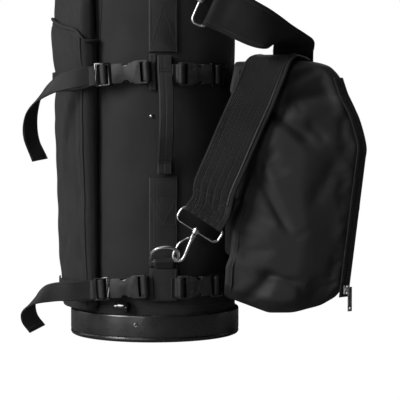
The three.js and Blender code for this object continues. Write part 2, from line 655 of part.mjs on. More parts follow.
// The compression straps pinch the pouch's inner front edge back at their two heights, which
// leaves room for the right-hand plugs to pull out.
const pinchStops = [[LOWER_BELT_Z + 22, 1], [LOWER_BELT_Z + 41, 0],
  [UPPER_BELT_Z - 38, 0], [UPPER_BELT_Z - 22, 1]];
const foot = POUCH_BOTTOM + 23;  // where the pouch has reached its full width, and where it loses it
const brow = POUCH_TOP - 112;
const rightStops = [[POUCH_BOTTOM, POUCH_RIGHT - 30], [foot, POUCH_RIGHT - 24], [brow, POUCH_RIGHT],
  [brow + 33, POUCH_RIGHT - 8], [brow + 69, POUCH_RIGHT - 25], [POUCH_TOP, POUCH_RIGHT - 38]];
const frontStops = [[POUCH_BOTTOM, POUCH_FRONT + 8], [foot, POUCH_FRONT], [brow, POUCH_FRONT],
  [POUCH_TOP, POUCH_FRONT + 14]];
const backStops = [[POUCH_BOTTOM, POUCH_BACK - 10], [foot, POUCH_BACK], [brow, POUCH_BACK],
  [POUCH_TOP, POUCH_BACK - 18]];
// The inner front edge, measured outwards from the line of the sleeve's side.
const edgeStops = [[POUCH_BOTTOM, -17], [95, -15], [114, -9], [155, -4], [218, 15], [POUCH_TOP - 68, 8],
  [POUCH_TOP - 40, -10], [POUCH_TOP, -2]].map(([z, beside]) => [z, BODY_R + beside]);
const CORNER_R = 22;

// The pouch's outline seen from above, set in all round by inset and from its outer sides by shrink.
function pouchRing(z, inset, shrink = 0) {
  const right = sizeAt(z, rightStops) - inset - shrink;
  const front = sizeAt(z, frontStops) + inset + shrink / 2;
  const back = sizeAt(z, backStops) - inset - shrink / 2;
  const edge = sizeAt(z, edgeStops) + 1.6 * inset;
  const pinch = sizeAt(z, pinchStops);
  const inner = cupOuter + 2 * GAP + inset;
  const ring = [];
  const from = THREE.MathUtils.lerp(55, 75, pinch);
  const to = Math.min(122, THREE.MathUtils.radToDeg(Math.acos(-(back - 6) / inner)));
  for (let i = 0; i <= 7; i++) ring.push(around(from + (to - from) * i / 7, inner, z));
  const corner = (x, y, r, start) => {
    for (let i = 0; i <= 4; i++) {
      const a = rad(start - 90 * i / 4);
      ring.push(vec(x + r * Math.cos(a), y + r * Math.sin(a), z));
    }
  };
  ring.push(vec(Math.sqrt(inner * inner - (back - 2) ** 2) + 3, back - 2, z));
  corner(right - CORNER_R, back - CORNER_R, CORNER_R, 90);
  corner(right - CORNER_R, front + CORNER_R, CORNER_R, 0);
  const panelMiddle = (edge + 14 + right - CORNER_R) / 2;
  ring.push(vec(panelMiddle, front, z), vec(edge + 14, front, z), vec(edge, front + 1, z));
  const fold = around(from, inner, z).lerp(vec(edge, front, z), 0.5);
  ring.push(fold.lerp(vec(BODY_R + 30 + inset, -52, z), pinch));
  return ring;
}

const upright = [[95, 0], [114, 0], [190, 0], [brow, 0], [brow + 33, 0], [brow + 56, 0]];
const outerStops = [[POUCH_BOTTOM, 22], [POUCH_BOTTOM + 6, 10], [foot, 0], ...upright, [POUCH_TOP - 40, 0],
  [POUCH_TOP - 18, 3], [POUCH_TOP - 6, 10], [POUCH_TOP, 24]];
const innerStops = [[POUCH_BOTTOM + POUCH_WALL, 24], [POUCH_BOTTOM + 10, 11], [foot + 3, 1], ...upright,
  [POUCH_TOP - 40, 1], [POUCH_TOP - 20, 5], [POUCH_TOP - 9, 12], [POUCH_TOP - POUCH_WALL, 26]];
const pouchOuter = loft(outerStops.map(([z, shrink]) => pouchRing(z, 0, shrink)));
const pouchInner = loft(innerStops.map(([z, shrink]) => pouchRing(z, POUCH_WALL, shrink)));

// The zip runs down the front right corner, a straight line through two corner points.
const ZIP_Z = [foot + 3, brow - 4];
const ZIP_STAND = 1.6;           // middle of the tape above the fabric
const POUCH_ZIP_WIDTH = 18;
const POUCH_SLOT = 12;           // opening under the tape
const cornerPoint = (z, out) => {
  const reach = (CORNER_R + out) * Math.SQRT1_2 - CORNER_R;
  return vec(sizeAt(z, rightStops) + reach, sizeAt(z, frontStops) - reach, z);
};
const zipLow = cornerPoint(ZIP_Z[0], ZIP_STAND);
const zipHigh = cornerPoint(ZIP_Z[1], ZIP_STAND);
const zipLine = zipHigh.clone().sub(zipLow).normalize();
const acrossZip = vec(Math.SQRT1_2, Math.SQRT1_2, 0);
const slotLow = zipLow.clone().addScaledVector(zipLine, 6);
const slotHigh = zipHigh.clone().addScaledVector(zipLine, -6);
const slot = ribbon([[slotLow, acrossZip], [slotHigh, acrossZip]], POUCH_SLOT, 30, 1);
add('pouch_shell', cut(pouchOuter, [pouchInner, slot]), fabric);

// Flat tape standing just clear of the rounded corner all the way.
const tapeStops = [[zipLow, acrossZip], [zipHigh, acrossZip]];
add('pouch_zip_tape', ribbon(tapeStops, POUCH_ZIP_WIDTH, 1.4, 1), webbing);

const pouchSlider = new THREE.Group();
pouchSlider.position.copy(zipLow.clone().addScaledVector(zipLine, 8));
pouchSlider.rotation.z = rad(-45);
part.add(pouchSlider);
const sliderSeat = 0.7 + 2 * GAP;
const pullerSeat = SLIDER_HEIGHT + 1.2 + 2 * GAP;
add('pouch_zip_slider', zipSlider(SLIDER_LENGTH, 9, SLIDER_HEIGHT)
  .translate(sliderSeat, 0, 0), steel, pouchSlider);
add('pouch_zip_puller', zipPuller(32, 7, 1.6).translate(pullerSeat, 0, 4), steel, pouchSlider);

// ---------------------------------------------------------------- compression straps and buckles
// A buckle's own frame: +X away from the front webbing, Z up, Y through its thickness.
const SOCKET = { length: 47, height: BELT_WIDTH + 5, depth: 9, slotFrom: 4.2, slotTo: 10 };
const PLUG = { from: 47.6, to: 69, depth: 5 };
const CHANNEL = { from: 14, halfHeight: BELT_WIDTH / 2 - 1, halfDepth: 2.7 };
const slotHalf = BELT_WIDTH / 2 + 0.6;

function socketSolid() {
  const { length, height, depth, slotFrom, slotTo } = SOCKET;
  const outline = new THREE.Shape();
  const h = height / 2;
  outline.moveTo(1.5, -h);
  outline.lineTo(15, -h);
  outline.quadraticCurveTo(19, -h + 0.5, 20, -h + 2.4);
  outline.lineTo(length - 3, -h + 2.4);
  outline.lineTo(length, -h + 3.4);
  outline.lineTo(length, h - 3.4);
  outline.lineTo(length - 3, h - 2.4);
  outline.lineTo(20, h - 2.4);
  outline.quadraticCurveTo(19, h - 0.5, 15, h);
  outline.lineTo(1.5, h);
  outline.lineTo(0, h - 1.5);
  outline.lineTo(0, -h + 1.5);
  outline.closePath();
  const body = new THREE.ExtrudeGeometry(outline, { depth, bevelEnabled: false, curveSegments: 3 })
    .translate(0, 0, -depth / 2)
    .rotateX(Math.PI / 2);
  const windows = [1, -1].map((side) => new THREE.CylinderGeometry(5, 5, depth + 2, 14)
    .translate(29, 0, side * (h - 1.2)));
  return cut(body, [
    box(slotFrom, slotTo, -depth, depth, -slotHalf, slotHalf),
    box(CHANNEL.from, length + 1, -CHANNEL.halfDepth, CHANNEL.halfDepth,
      -CHANNEL.halfHeight, CHANNEL.halfHeight),
    ...windows,
  ]);
}

function plugSolid() {
  const h = SOCKET.height / 2;
  const d = PLUG.depth / 2;
  const ladder = cut(box(PLUG.from, PLUG.to, -d, d, -h, h), [
    box(PLUG.from + 4.2, PLUG.from + 8.8, -5, 5, -slotHalf, slotHalf),
    box(PLUG.from + 12.6, PLUG.from + 17.4, -5, 5, -slotHalf, slotHalf),
  ]);
  const reach = CHANNEL.halfHeight - 0.4;
  const thin = CHANNEL.halfDepth - 0.5;
  const prong = (side) => {
    const outline = new THREE.Shape([[PLUG.from + 1, 4.5], [34, 3.9], [27, 5.5], [22, 5.9], [22.5, 2.5],
      [26, 0], [31.5, 0], [33.5, 1.5], [PLUG.from + 1, 1.3]]
      .map(([x, inwards]) => new THREE.Vector2(x, side * (reach - inwards))));
    return new THREE.ExtrudeGeometry(outline, { depth: 2 * thin, bevelEnabled: false })
      .translate(0, 0, -thin)
      .rotateX(Math.PI / 2);
  };
  return join(ladder, [prong(1), prong(-1), box(24, PLUG.from + 1, -thin, thin, -1.8, 1.8)]);
}

// Where each buckle starts, next to the front webbing, and which way it points.
const buckleY = -(webOuter + SOCKET.depth / 2 + 2.7);
const buckles = [
  { name: 'upper_left', x: -5, y: buckleY, z: UPPER_BELT_Z + 3, turnDeg: 176, tiltDeg: BELT_TILT_DEG },
  { name: 'lower_left', x: -8, y: buckleY, z: LOWER_BELT_Z + 2, turnDeg: 176, tiltDeg: BELT_TILT_DEG },
  { name: 'upper_right', x: 36, y: buckleY - 0.3, z: UPPER_BELT_Z, turnDeg: 33, tiltDeg: 0 },
  { name: 'lower_right', x: 34.5, y: buckleY - 1, z: LOWER_BELT_Z, turnDeg: 33, tiltDeg: 0 },
];
for (const { name, x, y, z, turnDeg, tiltDeg } of buckles) {
  const spot = new THREE.Group();
  spot.position.set(x, y, z);
  spot.rotation.set(0, rad(tiltDeg), rad(turnDeg), 'ZYX');
  part.add(spot);
  add(`buckle_socket_${name}`, socketSolid(), plastic, spot);
  add(`buckle_plug_${name}`, plugSolid(), plastic, spot);
}

const up = vec(0, 0, 1);

// Short webbing across the front, from the left socket to the right one.
for (const [name, z] of [['upper', UPPER_BELT_Z], ['lower', LOWER_BELT_Z]]) {
  add(`cross_webbing_${name}`, strip(webInner, BELT_THICKNESS, WEB_WIDTH - 2, z - BELT_WIDTH / 2,
    z + BELT_WIDTH / 2), webbing, spine);
}

// From each plug round the pocket or towards the pouch, sewn to the sleeve at the far end.
function pocketBelt(z, startZ, startX) {
  const stops = [vec(startX, buckleY + 4.7, startZ)];
  for (const [deg, lift] of [[-41, 9], [-50, 3], [-60, 2], [-72, 2], [-84, 2], [-92, 2]]) {
    stops.push(around(deg, pocketReach(z) + lift + 0.5, z));
  }
  return ribbon(stops.map((p) => [p, up]), BELT_WIDTH, BELT_THICKNESS, 24);
}
add('belt_upper_left', pocketBelt(UPPER_BELT_Z - 8, UPPER_BELT_Z - 3, -76), webbing);
add('belt_lower_left', pocketBelt(LOWER_BELT_Z - 8, LOWER_BELT_Z - 4, -79), webbing);
for (const [name, z] of [['upper', UPPER_BELT_Z], ['lower', LOWER_BELT_Z]]) {
  const [from, to] = [50, 52].map((deg) => [around(deg, BODY_R + 2.8, z), up]);
  add(`belt_${name}_right`, ribbon([from, to], BELT_WIDTH, BELT_THICKNESS, 2), webbing);
}

// Free tails of the left straps, twisting as they hang.
const upperTail = [
  [vec(-76.5, buckleY - 0.1, UPPER_BELT_Z - 4), vec(0.04, 0, 1)],
  [vec(-100, buckleY + 3.5, UPPER_BELT_Z - 6), vec(0.1, 0, 1)],
  [vec(-126, buckleY + 7.5, UPPER_BELT_Z - 14), vec(0.3, 0, 0.95)],
  [vec(-147, buckleY + 11.5, UPPER_BELT_Z - 30), vec(0.5, 0.5, 0.7)],
  [vec(-158, buckleY + 15.5, UPPER_BELT_Z - 54), vec(0.6, 0.75, 0.2)],
  [vec(-158, buckleY + 19.5, UPPER_BELT_Z - 84), vec(0.75, 0.65, -0.05)],
  [vec(-147, -98, UPPER_BELT_Z - 112), vec(0.75, 0.62, 0.15)],
];
const lowerTail = [
  [vec(-79.5, buckleY + 0.1, LOWER_BELT_Z - 5), vec(0.04, 0, 1)],
  [vec(-104, buckleY + 1.5, LOWER_BELT_Z - 5), vec(0.05, 0, 1)],
  [vec(-128, buckleY + 0.5, LOWER_BELT_Z - 6), vec(0.1, 0.1, 1)],
  [vec(-148, buckleY - 1.5, LOWER_BELT_Z - 11), vec(0.4, 0.3, 0.85)],
  [vec(-160, buckleY - 0.5, LOWER_BELT_Z - 24), vec(0.65, 0.5, 0.5)],
  [vec(-160, buckleY + 3.5, LOWER_BELT_Z - 40), vec(0.72, 0.5, 0.35)],
  [vec(-150, buckleY + 7.5, LOWER_BELT_Z - 55), vec(0.75, 0.5, 0.35)],
];
add('belt_tail_upper', ribbon(upperTail, BELT_WIDTH, BELT_THICKNESS, 30), webbing);
add('belt_tail_lower', ribbon(lowerTail, BELT_WIDTH, BELT_THICKNESS, 30), webbing);

// ---------------------------------------------------------------- hem drawcord's lock
const LOCK_DEG = -21;
const LOCK_R = 7;
const lock = new THREE.Group();
lock.rotation.z = rad(LOCK_DEG);
lock.position.z = CUP_HEIGHT + LOCK_R + 4;
part.add(lock);
const lockY = -(BODY_R + 1 + LOCK_R);
const lockBody = cut(pinX(LOCK_R, -2, 12, 20), [pinX(LOCK_R - 1.4, -3, 5, 20)]);
add('cord_lock', lockBody.translate(0, lockY, 0), plastic, lock);
add('cord_lock_button', pinX(LOCK_R - 1.8, -8, 1, 20).translate(0, lockY, 0), plastic, lock);

export default part;
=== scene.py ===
# %% [markdown]
# # A padded carry case for a telescope tube
# The case is a round nylon sleeve that stands in a satin black cup. A zipped lid closes its top,
# a tall pocket sits on its left, a big pouch on its right, and straps with side-release buckles
# squeeze them against the tube. We start from the engineering model, which settles every place
# and every joint, and we give each piece the shape and the finish that it has in real life.

# %% Load the frame
import math

import bmesh
import bpy
import numpy as np
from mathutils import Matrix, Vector


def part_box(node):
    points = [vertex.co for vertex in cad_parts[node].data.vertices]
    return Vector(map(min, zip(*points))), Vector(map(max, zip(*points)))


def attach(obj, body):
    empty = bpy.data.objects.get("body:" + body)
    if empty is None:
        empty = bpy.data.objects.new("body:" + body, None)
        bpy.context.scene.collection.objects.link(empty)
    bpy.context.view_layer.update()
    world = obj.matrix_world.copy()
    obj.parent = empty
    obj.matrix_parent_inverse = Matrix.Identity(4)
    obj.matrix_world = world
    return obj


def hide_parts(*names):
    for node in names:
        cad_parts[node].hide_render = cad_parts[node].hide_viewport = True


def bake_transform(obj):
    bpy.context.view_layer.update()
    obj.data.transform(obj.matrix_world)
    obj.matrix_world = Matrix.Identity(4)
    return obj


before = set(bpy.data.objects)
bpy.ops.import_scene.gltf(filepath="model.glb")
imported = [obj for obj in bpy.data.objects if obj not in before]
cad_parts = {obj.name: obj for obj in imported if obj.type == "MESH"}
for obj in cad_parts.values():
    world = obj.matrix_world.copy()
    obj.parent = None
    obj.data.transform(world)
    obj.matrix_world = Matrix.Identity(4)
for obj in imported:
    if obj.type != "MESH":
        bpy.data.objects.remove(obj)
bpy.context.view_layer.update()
MM = 0.001

# %% [markdown]
# ## Camera, light and floor
# A long lens from about two metres keeps the tube's sides nearly parallel. The case is black, so
# its shape is told by reflections: one big soft light from the left, a narrow card in front, and
# weak lights at both sides, above and behind that draw its rims. The floor and the sky are almost
# white to the camera only: to everything else they are dim, or they would wash the black out.

# %% Camera
LENS = 144.5
CAMERA_AT = Vector((0.062, -2.197, 0.290))
CAMERA_LOOKS_AT = Vector((0.062, 0.0, 0.181))

scene = bpy.context.scene
camera = bpy.data.objects.new("camera", bpy.data.cameras.new("camera"))
scene.collection.objects.link(camera)
camera.data.lens = LENS
camera.data.sensor_width = 36
camera.location = CAMERA_AT
camera.rotation_euler = (CAMERA_LOOKS_AT - CAMERA_AT).to_track_quat("-Z", "Y").to_euler()
scene.camera = camera
scene.view_settings.view_transform = "Standard"
print("camera", round((CAMERA_LOOKS_AT - CAMERA_AT).length, 3), "m from the case")


# %% Lights
def soft_light(name, place, target, width, height, power):
    light = bpy.data.lights.new(name, "AREA")
    light.shape = "RECTANGLE"
    light.size = width
    light.size_y = height
    light.energy = power
    lamp = bpy.data.objects.new(name, light)
    lamp.location = place
    lamp.rotation_euler = (Vector(target) - Vector(place)).to_track_quat("-Z", "Y").to_euler()
    lamp.visible_camera = False
    scene.collection.objects.link(lamp)
    return lamp


soft_light("key_light", (-1.9, -1.5, 1.1), (0.03, 0, 0.24), 0.8, 1.4, 56)
soft_light("front_card", (-0.8, -2.2, 0.55), (0.0, 0, 0.15), 0.22, 1.2, 7)
soft_light("left_card", (-1.5, 0.45, 0.6), (0, 0, 0.3), 0.6, 1.8, 4)
soft_light("right_card", (1.7, 0.5, 0.6), (0.1, 0, 0.3), 0.4, 1.8, 1.5)
soft_light("top_light", (-0.1, -0.2, 2.2), (0.05, 0, 0.4), 1.2, 1.0, 8)
soft_light("back_light", (0.6, 2.2, 1.2), (0.05, 0, 0.3), 1.6, 1.2, 8)

# %% [markdown]
# ### Formulas as nodes
# Weave, ribs and wear are formulas, and a formula built from loose Math nodes is hard to read.
# This small class overloads Python's operators, so that `a * b + 0.5` makes the nodes for us.


# %% A value that builds Math nodes
class Number:
    def __init__(self, tree, socket):
        self.tree = tree
        self.socket = socket

    def math(self, operation, *others):
        node = self.tree.nodes.new("ShaderNodeMath")
        node.operation = operation
        for place, value in enumerate((self, *others)):
            if isinstance(value, Number):
                self.tree.links.new(value.socket, node.inputs[place])
            else:
                node.inputs[place].default_value = value
        return Number(self.tree, node.outputs[0])

    def __add__(self, other):
        return self.math("ADD", other)

    def __sub__(self, other):
        return self.math("SUBTRACT", other)

    def __mul__(self, other):
        return self.math("MULTIPLY", other)

    def __truediv__(self, other):
        return self.math("DIVIDE", other)

    def sine(self):
        return self.math("SINE")

    def absolute(self):
        return self.math("ABSOLUTE")

    def power(self, other):
        return self.math("POWER", other)

    def least(self, other):
        return self.math("MINIMUM", other)

    def fraction(self):
        return self.math("FRACT")

    def above(self, other):
        return self.math("GREATER_THAN", other)

    def between(self, low, high):
        """0 below low, 1 above high, and a smooth step between them."""
        node = self.tree.nodes.new("ShaderNodeMapRange")
        node.interpolation_type = "SMOOTHSTEP"
        self.tree.links.new(self.socket, node.inputs["Value"])
        node.inputs["From Min"].default_value = low
        node.inputs["From Max"].default_value = high
        return Number(self.tree, node.outputs["Result"])


def new_group(name, inputs, outputs):
    """A shader node group with named inputs and outputs. inputs is {name: (type, default)}."""
    tree = bpy.data.node_groups.new(name, "ShaderNodeTree")
    for title, (kind, value) in inputs.items():
        socket = tree.interface.new_socket(title, in_out="INPUT", socket_type="NodeSocket" + kind)
        if value is not None:
            socket.default_value = value
    for title, kind in outputs.items():
        tree.interface.new_socket(title, in_out="OUTPUT", socket_type="NodeSocket" + kind)
    entry = tree.nodes.new("NodeGroupInput")
    leave = tree.nodes.new("NodeGroupOutput")
    taken = {title: Number(tree, entry.outputs[title]) for title in inputs}
    return tree, taken, leave


def split(tree, vector):
    node = tree.nodes.new("ShaderNodeSeparateXYZ")
    tree.links.new(vector, node.inputs[0])
    return [Number(tree, output) for output in node.outputs]


def noise(tree, vector, scale, detail=3.0):
    node = tree.nodes.new("ShaderNodeTexNoise")
    node.inputs["Detail"].default_value = detail
    tree.links.new(vector, node.inputs["Vector"])
    if isinstance(scale, Number):
        tree.links.new(scale.socket, node.inputs["Scale"])
    else:
        node.inputs["Scale"].default_value = scale
    return Number(tree, node.outputs["Fac"])


# %% [markdown]
# ### Weave, ribs, grain, wear and dust
# Each effect is one node group. Cloth is told by its weave: in a plain weave each thread passes
# over one and under the next, so the height is a checkerboard of small hills. Webbing has bolder
# ribs across it, which lean to one side and then to the other. The groups only put out numbers;
# the Principled shader stays in each material.

# %% Shader group: plain weave
weave, given, leave = new_group(
    "plain_weave",
    {"Vector": ("Vector", None), "Threads per metre": ("Float", 1100.0)},
    {"Height": "Float", "Gap": "Float"},
)
across, along, _ = split(weave, given["Vector"].socket)
warp = (across * given["Threads per metre"] * math.pi).sine()
weft = (along * given["Threads per metre"] * math.pi).sine()
over = (warp * weft).above(0.0)
hill = warp.absolute() * over + weft.absolute() * (over * -1.0 + 1.0)
weave.links.new(hill.power(0.6).socket, leave.inputs["Height"])
weave.links.new((warp.absolute().least(weft.absolute()) * -1.0 + 1.0).socket, leave.inputs["Gap"])

# %% Shader group: webbing ribs
ribs, given, leave = new_group(
    "webbing_ribs",
    {"Vector": ("Vector", None), "Rib pitch": ("Float", 0.0021), "Column": ("Float", 0.0063)},
    {"Height": "Float", "Gap": "Float"},
)
across, along, _ = split(ribs, given["Vector"].socket)
column = (across / given["Column"]).fraction()
lean = (column - 0.5).absolute() * 2.0
rib = ((along / given["Rib pitch"] + lean) * math.pi).sine().absolute()
edge = (column - 0.5).absolute().between(0.40, 0.5) * 0.5
ribs.links.new((rib.power(0.7) - edge).socket, leave.inputs["Height"])
ribs.links.new((rib * -1.0 + 1.0).power(2.0).socket, leave.inputs["Gap"])

# %% Shader group: grain
grain, given, leave = new_group(
    "grain",
    {"Vector": ("Vector", None), "Scale": ("Float", 900.0)},
    {"Height": "Float", "Blotch": "Float"},
)
fine = noise(grain, given["Vector"].socket, given["Scale"], 2.0)
broad = noise(grain, given["Vector"].socket, given["Scale"] * 0.03, 4.0)
grain.links.new(fine.socket, leave.inputs["Height"])
grain.links.new(broad.between(0.35, 0.7).socket, leave.inputs["Blotch"])

# %% Shader group: edge wear
wear, given, leave = new_group("edge_wear", {"Amount": ("Float", 1.0)}, {"Mask": "Float"})
geometry = wear.nodes.new("ShaderNodeNewGeometry")
where = wear.nodes.new("ShaderNodeTexCoord")
sharp = Number(wear, geometry.outputs["Pointiness"]).between(0.52, 0.60)
broken = noise(wear, where.outputs["Object"], 260.0).between(0.40, 0.62)
wear.links.new((sharp * broken * given["Amount"]).socket, leave.inputs["Mask"])

# %% Shader group: dust
dust, given, leave = new_group("dust", {"Amount": ("Float", 1.0)}, {"Mask": "Float"})
geometry = dust.nodes.new("ShaderNodeNewGeometry")
where = dust.nodes.new("ShaderNodeTexCoord")
_, _, upward = split(dust, geometry.outputs["Normal"])
speck = noise(dust, where.outputs["Object"], 900.0, 2.0).between(0.60, 0.72)
haze = noise(dust, where.outputs["Object"], 14.0).between(0.45, 0.75)
settled = upward.between(0.1, 1.0) * 0.8 + 0.2
dust.links.new((settled * (haze * 0.5 + speck * 0.5) * given["Amount"]).socket, leave.inputs["Mask"])
print("shader groups:", [group.name for group in bpy.data.node_groups])

# %% [markdown]
# ## Finishes
# One function makes every finish. It mixes a dark and a light tone by the blotches, the dust and
# the pattern's height; the height part is painted shade in the gaps between threads and ribs. It
# also feeds the pattern's height to a Bump node. What differs from cloth to plastic to plate is
# the numbers, not the way.


# %% A function for finishes
def place(tree, name, **values):
    node = tree.nodes.new("ShaderNodeGroup")
    node.node_tree = bpy.data.node_groups[name]
    for title, value in values.items():
        node.inputs[title.replace("_", " ")].default_value = value
    return node


def mix(tree, factor, first, second):
    node = tree.nodes.new("ShaderNodeMix")
    node.data_type = "RGBA"
    tree.links.new(factor.socket, node.inputs["Factor"])
    for slot, value in ((6, first), (7, second)):
        if isinstance(value, tuple):
            node.inputs[slot].default_value = (*value, 1)
        else:
            tree.links.new(value, node.inputs[slot])
    return node.outputs[2]


def finish(name, base, light, rough, pattern=None, bump=0.5, depth=0.0004, grain_scale=900.0,
           dusty=0.3, worn=0.0, worn_colour=(0.12, 0.12, 0.12), metal=0.0, coat=0.0, sheen=0.0,
           specular=0.5, **pattern_values):
    """A material: base and light are its dark and light tones, rough its least and most roughness."""
    material = bpy.data.materials.new(name)
    material.use_nodes = True
    tree = material.node_tree
    shader = tree.nodes["Principled BSDF"]
    where = tree.nodes.new("ShaderNodeTexCoord")
    speckle = place(tree, "grain", Scale=grain_scale)
    tree.links.new(where.outputs["Object"], speckle.inputs["Vector"])
    blotch = Number(tree, speckle.outputs["Blotch"])
    height = Number(tree, speckle.outputs["Height"])
    tone = blotch * 0.6
    if pattern:
        cloth = place(tree, pattern, **pattern_values)
        tree.links.new(where.outputs["UV"], cloth.inputs["Vector"])
        # With a pattern, its height also sets the tone, so the hollows between threads and ribs get painted
        # shade.
        tone = tone + Number(tree, cloth.outputs["Height"]) * 0.4
        height = Number(tree, cloth.outputs["Height"]) + height * 0.35
    colour = mix(tree, tone.least(1.0), base, light)
    veil = Number(tree, place(tree, "dust", Amount=dusty).outputs["Mask"])
    colour = mix(tree, veil * 0.16, colour, (0.32, 0.31, 0.30))
    roughness = blotch * (rough[1] - rough[0]) + rough[0] + veil * 0.25
    if worn:
        scuff = Number(tree, place(tree, "edge_wear", Amount=worn).outputs["Mask"])
        colour = mix(tree, scuff, colour, worn_colour)
        roughness = roughness + scuff * 0.15
    tree.links.new(colour, shader.inputs["Base Color"])
    tree.links.new(roughness.least(1.0).socket, shader.inputs["Roughness"])
    relief = tree.nodes.new("ShaderNodeBump")
    relief.inputs["Strength"].default_value = bump
    relief.inputs["Distance"].default_value = depth
    tree.links.new(height.socket, relief.inputs["Height"])
    tree.links.new(relief.outputs["Normal"], shader.inputs["Normal"])
    shader.inputs["Metallic"].default_value = metal
    shader.inputs["Coat Weight"].default_value = coat
    shader.inputs["Coat Roughness"].default_value = 0.12
    shader.inputs["Sheen Weight"].default_value = sheen
    shader.inputs["Sheen Roughness"].default_value = 0.4
    shader.inputs["Specular IOR Level"].default_value = specular
    return material


# %% The finishes
sleeve_nylon = finish("sleeve_nylon", (0.007, 0.007, 0.008), (0.015, 0.015, 0.017), (0.62, 0.8),
                      "plain_weave", bump=0.7, depth=0.0004, sheen=0.05, Threads_per_metre=900.0)
pouch_nylon = finish("pouch_nylon", (0.008, 0.008, 0.009), (0.015, 0.015, 0.016), (0.6, 0.74),
                     "plain_weave", bump=0.4, depth=0.0002, sheen=0.04, Threads_per_metre=1900.0)
strap_webbing = finish("strap_webbing", (0.003, 0.003, 0.003), (0.013, 0.013, 0.014), (0.5, 0.66),
                       "webbing_ribs", bump=0.9, depth=0.0007, sheen=0.03, Rib_pitch=0.0026,
                       Column=0.0095)
# A darker copy of strap_webbing for the strap's upper run: painted shade, where that run faces away from the
# light.
strap_back = finish("strap_back", (0.001, 0.001, 0.001), (0.003, 0.003, 0.003), (0.75, 0.9),
                    "webbing_ribs", bump=0.5, depth=0.0004, Rib_pitch=0.0026, Column=0.0095)
belt_webbing = finish("belt_webbing", (0.005, 0.005, 0.006), (0.018, 0.018, 0.019), (0.5, 0.66),
                      "webbing_ribs", bump=0.5, depth=0.0003, sheen=0.03, Rib_pitch=0.0018,
                      Column=0.0042)
tape_webbing = finish("tape_webbing", (0.009, 0.009, 0.01), (0.022, 0.022, 0.023), (0.6, 0.78),
                      "plain_weave", bump=0.6, depth=0.0003, Threads_per_metre=1500.0)
thread = finish("thread", (0.024, 0.024, 0.025), (0.06, 0.06, 0.062), (0.35, 0.5), bump=0.3,
                depth=0.0001, grain_scale=4000.0)
foam_lining = finish("foam_lining", (0.02, 0.02, 0.022), (0.035, 0.035, 0.037), (0.8, 0.95),
                     "plain_weave", bump=0.4, depth=0.0003, sheen=0.2, Threads_per_metre=1400.0)
cup_coating = finish("cup_coating", (0.006, 0.006, 0.0065), (0.010, 0.010, 0.011), (0.26, 0.36),
                     bump=0.12, depth=0.0002, grain_scale=1500.0, dusty=0.5, worn=0.6, specular=1.0)
moulded_plastic = finish("moulded_plastic", (0.028, 0.028, 0.029), (0.05, 0.05, 0.051),
                         (0.30, 0.44), bump=0.2, depth=0.0001, grain_scale=2600.0, worn=0.5)
glossy_plastic = finish("glossy_plastic", (0.006, 0.006, 0.006), (0.009, 0.009, 0.009),
                        (0.10, 0.18), bump=0.05, depth=0.0001, coat=0.6)
nickel_plate = finish("nickel_plate", (0.62, 0.62, 0.62), (0.78, 0.78, 0.77), (0.2, 0.34),
                      bump=0.05, depth=0.0001, dusty=0.4, metal=1.0, worn=0.5,
                      worn_colour=(0.4, 0.38, 0.35))
dark_steel = finish("dark_steel", (0.12, 0.12, 0.125), (0.24, 0.24, 0.24), (0.22, 0.36), bump=0.1,
                    depth=0.0001, metal=1.0, worn=0.7, worn_colour=(0.5, 0.5, 0.5))
zip_plastic = finish("zip_plastic", (0.012, 0.012, 0.013), (0.03, 0.03, 0.03), (0.22, 0.34),
                     bump=0.1, depth=0.0001)


# %% Floor and sky
def two_faced(tree, to_camera, to_light):
    """One shader for what the camera sees directly, and another for everything else."""
    path = tree.nodes.new("ShaderNodeLightPath")
    chooser = tree.nodes.new("ShaderNodeMixShader")
    tree.links.new(path.outputs["Is Camera Ray"], chooser.inputs[0])
    tree.links.new(to_light.outputs[0], chooser.inputs[1])
    tree.links.new(to_camera.outputs[0], chooser.inputs[2])
    return chooser


world = bpy.data.worlds.new("studio")
scene.world = world
world.use_nodes = True
sky = world.node_tree.nodes["Background"]
sky.inputs["Strength"].default_value = 0.05
paper = world.node_tree.nodes.new("ShaderNodeBackground")
paper.inputs["Color"].default_value = (1.0, 1.0, 1.0, 1)
output = world.node_tree.nodes["World Output"]
chooser = two_faced(world.node_tree, paper, sky)
world.node_tree.links.new(chooser.outputs[0], output.inputs[0])

FLOOR_HALF = 30.0
floor_mesh = bpy.data.meshes.new("floor")
floor_corners = [(-1, -1), (1, -1), (1, 1), (-1, 1)]
floor_mesh.from_pydata([(x * FLOOR_HALF, y * FLOOR_HALF, -0.0004) for x, y in floor_corners], [],
                       [(0, 1, 2, 3)])
floor = bpy.data.objects.new("floor", floor_mesh)
scene.collection.objects.link(floor)
floor_paint = bpy.data.materials.new("pale_floor")
floor_paint.use_nodes = True
nodes = floor_paint.node_tree.nodes
matt = nodes["Principled BSDF"]
matt.inputs["Base Color"].default_value = (0.25, 0.25, 0.25, 1)
matt.inputs["Roughness"].default_value = 0.7
glow = nodes.new("ShaderNodeEmission")
glow.inputs["Color"].default_value = (1.08, 1.08, 1.08, 1)
lit = nodes.new("ShaderNodeMixShader")
lit.inputs[0].default_value = 0.93
floor_paint.node_tree.links.new(matt.outputs[0], lit.inputs[1])
floor_paint.node_tree.links.new(glow.outputs[0], lit.inputs[2])
chooser = two_faced(floor_paint.node_tree, lit, matt)
floor_paint.node_tree.links.new(chooser.outputs[0], nodes["Material Output"].inputs[0])
floor_mesh.materials.append(floor_paint)
print("finishes:", len(bpy.data.materials))

# %% [markdown]
# ## Building meshes
# Most pieces here are a path with a cross-section: a strap is a flat section, a wire a round one,
# the sleeve a profile turned round an axis. So a few helpers make almost everything. `grid` lays
# faces over rows of points and writes a UV map in metres, so a weave keeps its true scale.


# %% Helpers: rows of points to a mesh
def around(deg, radius, z=0.0):
    """The point at an angle from the front and a radius round the case, in millimetres."""
    a = math.radians(deg)
    return np.array((radius * math.sin(a), -radius * math.cos(a), z))


